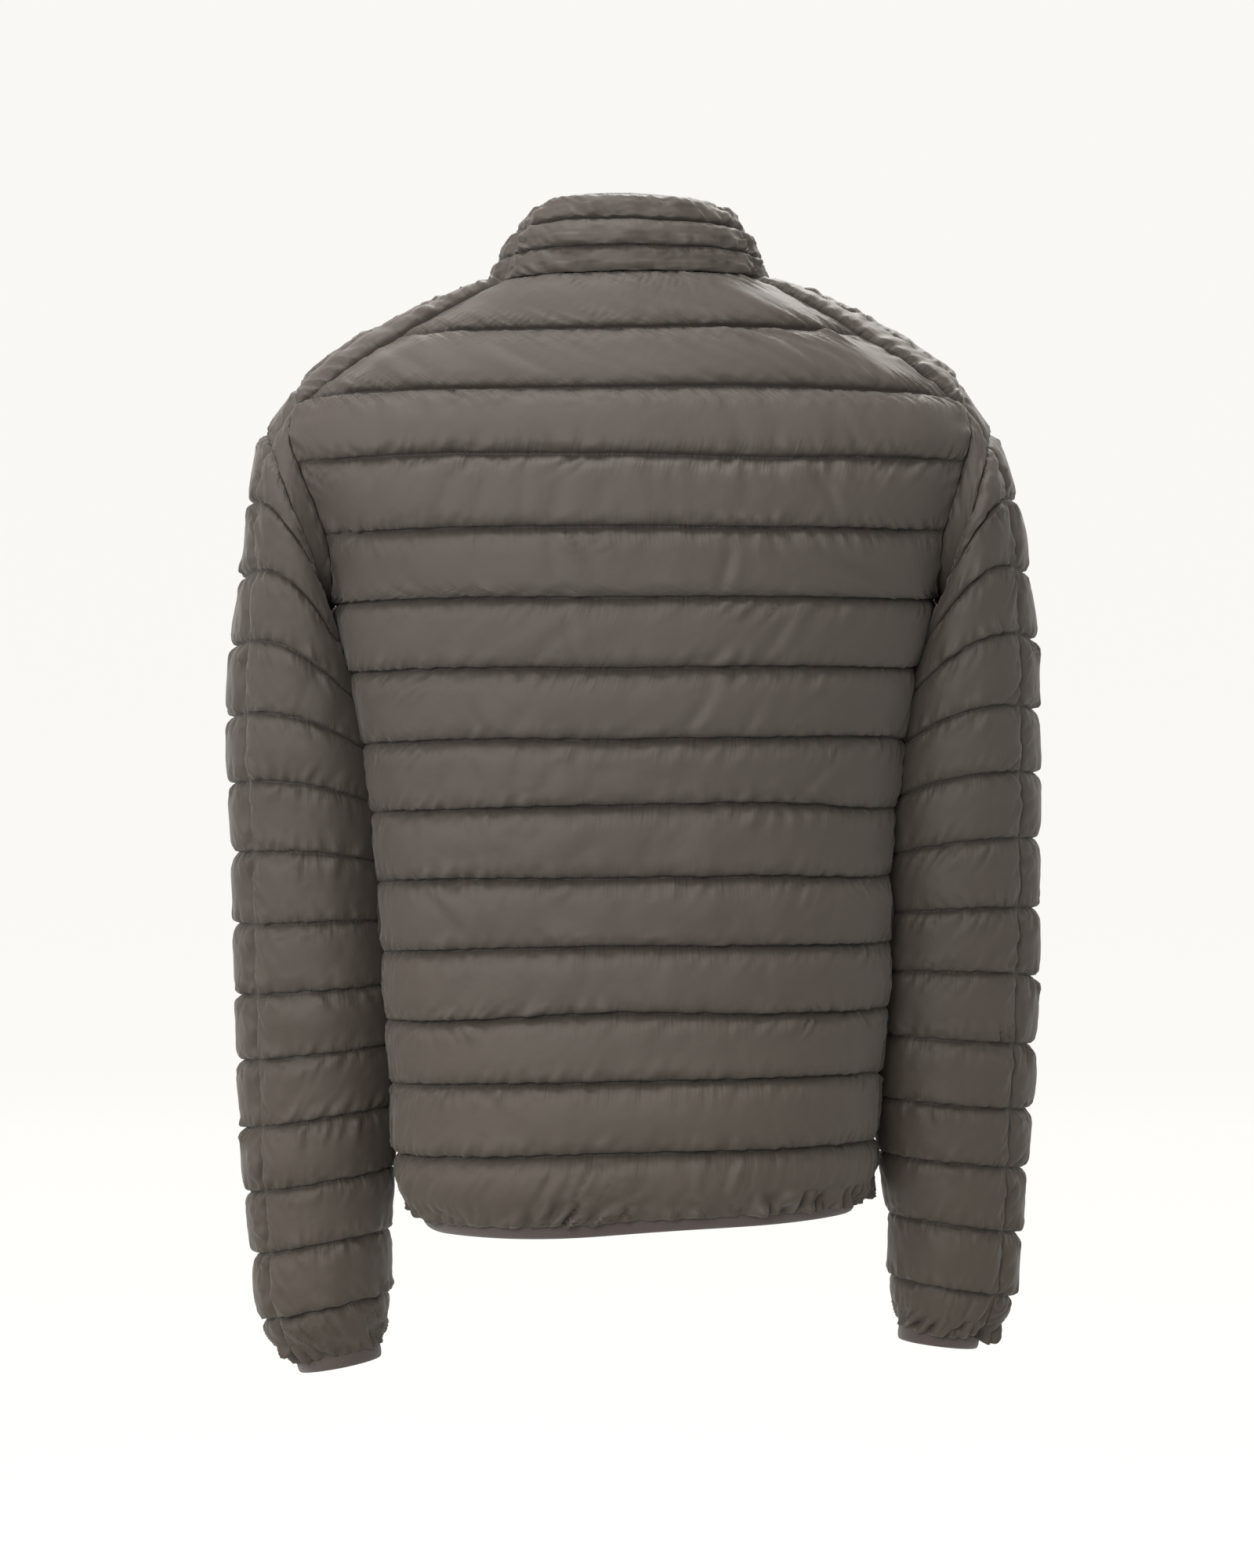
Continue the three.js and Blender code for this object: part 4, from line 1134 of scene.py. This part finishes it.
def nylon_material():
    """Satin taupe nylon, with fine puckers in the cloth close to each line of stitches, and painted
    shade that darkens the cloth in the groove at each line of stitches.
    """
    material = plain_material("nylon", NYLON, 0.6)
    tree = material.node_tree
    shader = tree.nodes["Principled BSDF"]
    shader.inputs["Specular IOR Level"].default_value = 0.28
    shader.inputs["Sheen Weight"].default_value = 0.12
    shader.inputs["Sheen Roughness"].default_value = 0.45
    shader.inputs["Sheen Tint"].default_value = (0.9, 0.86, 0.8, 1)
    place = node("ShaderNodeTexCoord", tree)
    split = node("ShaderNodeSeparateXYZ", tree)
    join(tree, place.outputs["UV"], split.inputs[0])
    fraction = step_node(tree, "FRACT", split.outputs["Y"], None)
    far = step_node(tree, "MINIMUM", fraction, step_node(tree, "SUBTRACT", 1.0, fraction))
    near = step_node(tree, "SUBTRACT", 1.0, step_node(tree, "MULTIPLY", far, 2.8))
    near = step_node(tree, "MAXIMUM", near, 0.0)
    near = step_node(tree, "POWER", near, 1.6)
    pucker_place = node("ShaderNodeCombineXYZ", tree)
    join(tree, step_node(tree, "MULTIPLY", split.outputs["X"], 240.0), pucker_place.inputs[0])
    join(tree, step_node(tree, "MULTIPLY", split.outputs["Y"], 1.6), pucker_place.inputs[1])
    pucker = node("ShaderNodeTexNoise", tree, {"Scale": 1.0, "Detail": 2.0, "Distortion": 0.4})
    join(tree, pucker_place.outputs[0], pucker.inputs["Vector"])
    height = step_node(tree, "MULTIPLY", pucker.outputs["Fac"], near)
    soft = node("ShaderNodeTexNoise", tree, {"Scale": 55.0, "Detail": 3.0, "Roughness": 0.55})
    join(tree, place.outputs["Object"], soft.inputs["Vector"])
    height = step_node(tree, "ADD", height, step_node(tree, "MULTIPLY", soft.outputs["Fac"], 0.35))
    weave = node("ShaderNodeTexNoise", tree, {"Scale": 2600.0, "Detail": 1.0})
    join(tree, place.outputs["Object"], weave.inputs["Vector"])
    height = step_node(tree, "ADD", height, step_node(tree, "MULTIPLY", weave.outputs["Fac"], 0.03))
    bump = node("ShaderNodeBump", tree, {"Strength": 0.75, "Distance": 0.0024})
    join(tree, height, bump.inputs["Height"])
    join(tree, bump.outputs["Normal"], shader.inputs["Normal"])
    # Painted shade: the cloth turns towards a darker colour right at each line of stitches, where the
    # grooves fall into shade.
    groove_shading = node("ShaderNodeMix", tree, data_type="RGBA")
    groove_shading.inputs["A"].default_value = (*NYLON, 1)
    groove_shading.inputs["B"].default_value = (*NYLON_GROOVE_SHADE, 1)
    shade = step_node(tree, "MULTIPLY", step_node(tree, "POWER", near, 5.0), 0.9)
    join(tree, shade, groove_shading.inputs["Factor"])
    level = node("ShaderNodeSeparateXYZ", tree)
    join(tree, place.outputs["Object"], level.inputs[0])
    low = node("ShaderNodeMapRange", tree, {
        "From Min": LOW_FROM, "From Max": LOW_TO, "To Min": 0.0, "To Max": 1.0,
    })
    join(tree, level.outputs["Z"], low.inputs[0])
    warm = node("ShaderNodeMix", tree, data_type="RGBA", blend_type="MULTIPLY")
    warm.inputs["B"].default_value = (*LOW_TINT, 1)
    join(tree, low.outputs[0], warm.inputs["Factor"])
    join(tree, groove_shading.outputs["Result"], warm.inputs["A"])
    join(tree, warm.outputs["Result"], shader.inputs["Base Color"])
    return material


def knit_material():
    """Ribbed stretch knit of the bindings."""
    material = plain_material("knit", KNIT, 0.8)
    tree = material.node_tree
    shader = tree.nodes["Principled BSDF"]
    shader.inputs["Sheen Weight"].default_value = 0.2
    place = node("ShaderNodeTexCoord", tree)
    split = node("ShaderNodeSeparateXYZ", tree)
    join(tree, place.outputs["UV"], split.inputs[0])
    ribs = step_node(tree, "SINE", step_node(tree, "MULTIPLY", split.outputs["Y"], 4500.0), None)
    bump = node("ShaderNodeBump", tree, {"Strength": 0.3, "Distance": 0.0006})
    join(tree, ribs, bump.inputs["Height"])
    join(tree, bump.outputs["Normal"], shader.inputs["Normal"])
    return material


def dress(piece, material, ride="jacket"):
    piece.data.materials.clear()
    piece.data.materials.append(material)
    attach(piece, ride)


nylon = nylon_material()
knit = knit_material()
tape_cloth = plain_material("zip tape", (0.06, 0.052, 0.047), 0.85)
thread_yarn = plain_material("thread", (0.045, 0.037, 0.031), 0.6)
teeth_metal = plain_material("zip teeth", (0.09, 0.085, 0.08), 0.35, 0.6)
slider_metal = plain_material("zip metal", (0.11, 0.105, 0.10), 0.3, 0.8)

panels = cut_panels()
fill_panels(panels)
for number, panel in enumerate(panels):
    wrinkle(panel, PANEL_SEED + number)
    cushion = close_panel(panel)
    dress(cushion, nylon)
    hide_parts(panel.name)

hem_piece, hem_length = sew_hem_binding()
bindings = [(hem_piece, hem_length, "hem_binding", "back_panel", BINDING_THICK)]
for cuff_name, cuff_side in (("left", 1), ("right", -1)):
    cuff_piece, cuff_length = sew_cuff_binding(f"cuff_knit_{cuff_name}", cuff_side)
    bindings.append((cuff_piece, cuff_length, f"cuff_binding_{cuff_name}",
                     f"sleeve_{cuff_name}_outer", CUFF_BINDING_THICK))
for piece, length, replaced, held_by, thick in bindings:
    divide(piece)
    dress(piece, knit)
    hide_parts(replaced)

path, way_out = zip_path()
for tape_name, tape_side in (("left", 1), ("right", -1)):
    tape = front_strip(f"tape_{tape_name}", path, way_out, tape_side * TAPE_INNER,
                       tape_side * TAPE_OUTER, TAPE_DEPTH, TAPE_DEPTH + TAPE_THICK)
    dress(tape, tape_cloth)
    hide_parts(f"zip_tape_{tape_name}")

thread = sew_lines(panels)
dress(thread, thread_yarn)

teeth = model_teeth(path, way_out)
dress(teeth, teeth_metal)
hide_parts("zip_chain")


def round_edges(cad_node, name):
    """Smooth-edged copy of a hard piece."""
    select_only(bpy.data.objects[cad_node])
    bpy.ops.object.duplicate()
    piece = bpy.context.active_object
    piece.name = name
    modifier = piece.modifiers.new("edges", "BEVEL")
    modifier.width = SLIDER_BEVEL * MM
    modifier.segments = 2
    modifier.limit_method = "ANGLE"
    modifier.angle_limit = math.radians(40)
    bpy.ops.object.modifier_apply(modifier=modifier.name)
    return piece


for cad_node, name, body in (
    ("zip_slider", "slider", "jacket"),
    ("zip_pull", "pull", "pull_tab"),
):
    metal_piece = round_edges(cad_node, name)
    dress(metal_piece, slider_metal, body)
    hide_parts(cad_node)


def build_studio():
    """Round pale floor that sweeps up into a wall on every side."""
    profile = [(0.02, 0), (2, 0), (4, 0), (STUDIO_RADIUS - STUDIO_CURVE, 0)]
    for step in range(1, 13):
        turn = math.pi / 2 * step / 12
        profile.append((
            STUDIO_RADIUS - STUDIO_CURVE + STUDIO_CURVE * math.sin(turn),
            STUDIO_CURVE * (1 - math.cos(turn)),
        ))
    profile.append((STUDIO_RADIUS, STUDIO_HEIGHT))
    turns = 96
    places = []
    for radius, rise in profile:
        for index in range(turns):
            turn = 2 * math.pi * index / turns
            places.append((radius * math.cos(turn), radius * math.sin(turn), FLOOR_LEVEL + rise))
    faces = []
    for ring in range(len(profile) - 1):
        for index in range(turns):
            after = (index + 1) % turns
            low = ring * turns
            high = low + turns
            faces.append([low + index, high + index, high + after, low + after])
    faces.append(list(range(turns)))
    studio = new_piece("studio", places, faces)
    studio_paint = plain_material("studio", (0.015, 0.0149, 0.0144), 0.9)
    shader = studio_paint.node_tree.nodes["Principled BSDF"]
    shader.inputs["Emission Color"].default_value = (1.0, 0.992, 0.957, 1)
    shader.inputs["Emission Strength"].default_value = 0.915
    studio.data.materials.append(studio_paint)


def add_softbox(name, place, target, size, power):
    light = bpy.data.lights.new(name, "AREA")
    light.shape = "RECTANGLE"
    light.size, light.size_y = size
    light.energy = power
    light.color = LIGHT_COLOUR
    lamp = bpy.data.objects.new(name, light)
    bpy.context.scene.collection.objects.link(lamp)
    aim = np.array(target) - np.array(place)
    lamp.location = place
    level = math.hypot(aim[0], aim[1])
    lamp.rotation_euler = (math.atan2(level, -aim[2]), 0, math.atan2(aim[1], aim[0]) - math.pi / 2)
    lamp.visible_camera = False


build_studio()
add_softbox("over", (0.4, 0.5, 2.2), LIGHTS_MIDDLE, (1.5, 0.9), 74)
add_softbox("left", (2.5, 1.5, 0.3), LIGHTS_MIDDLE, (0.9, 1.6), 36)
add_softbox("front", (1.0, 3.4, 0.5), LIGHTS_MIDDLE, (1.2, 1.2), 80)
add_softbox("behind", (-0.5, -1.8, 2.0), LIGHTS_MIDDLE, (1.4, 0.9), 95)

world = bpy.data.worlds.new("studio air")
world.use_nodes = True
world.node_tree.nodes["Background"].inputs["Color"].default_value = (1.0, 0.99, 0.97, 1)
world.node_tree.nodes["Background"].inputs["Strength"].default_value = 0.7
bpy.context.scene.world = world
bpy.context.scene.view_settings.view_transform = "Standard"

view_of = bpy.data.cameras.new("view")
view_of.sensor_fit = "HORIZONTAL"
view_of.sensor_width = 36
view_of.lens = LENS
view_of.clip_start = 0.1
view_of.clip_end = 60
camera = bpy.data.objects.new("view", view_of)
bpy.context.scene.collection.objects.link(camera)
camera.location = CAMERA_PLACE
camera.rotation_euler = (math.radians(90), 0, math.radians(180))
bpy.context.scene.camera = camera

bpy.context.view_layer.update()
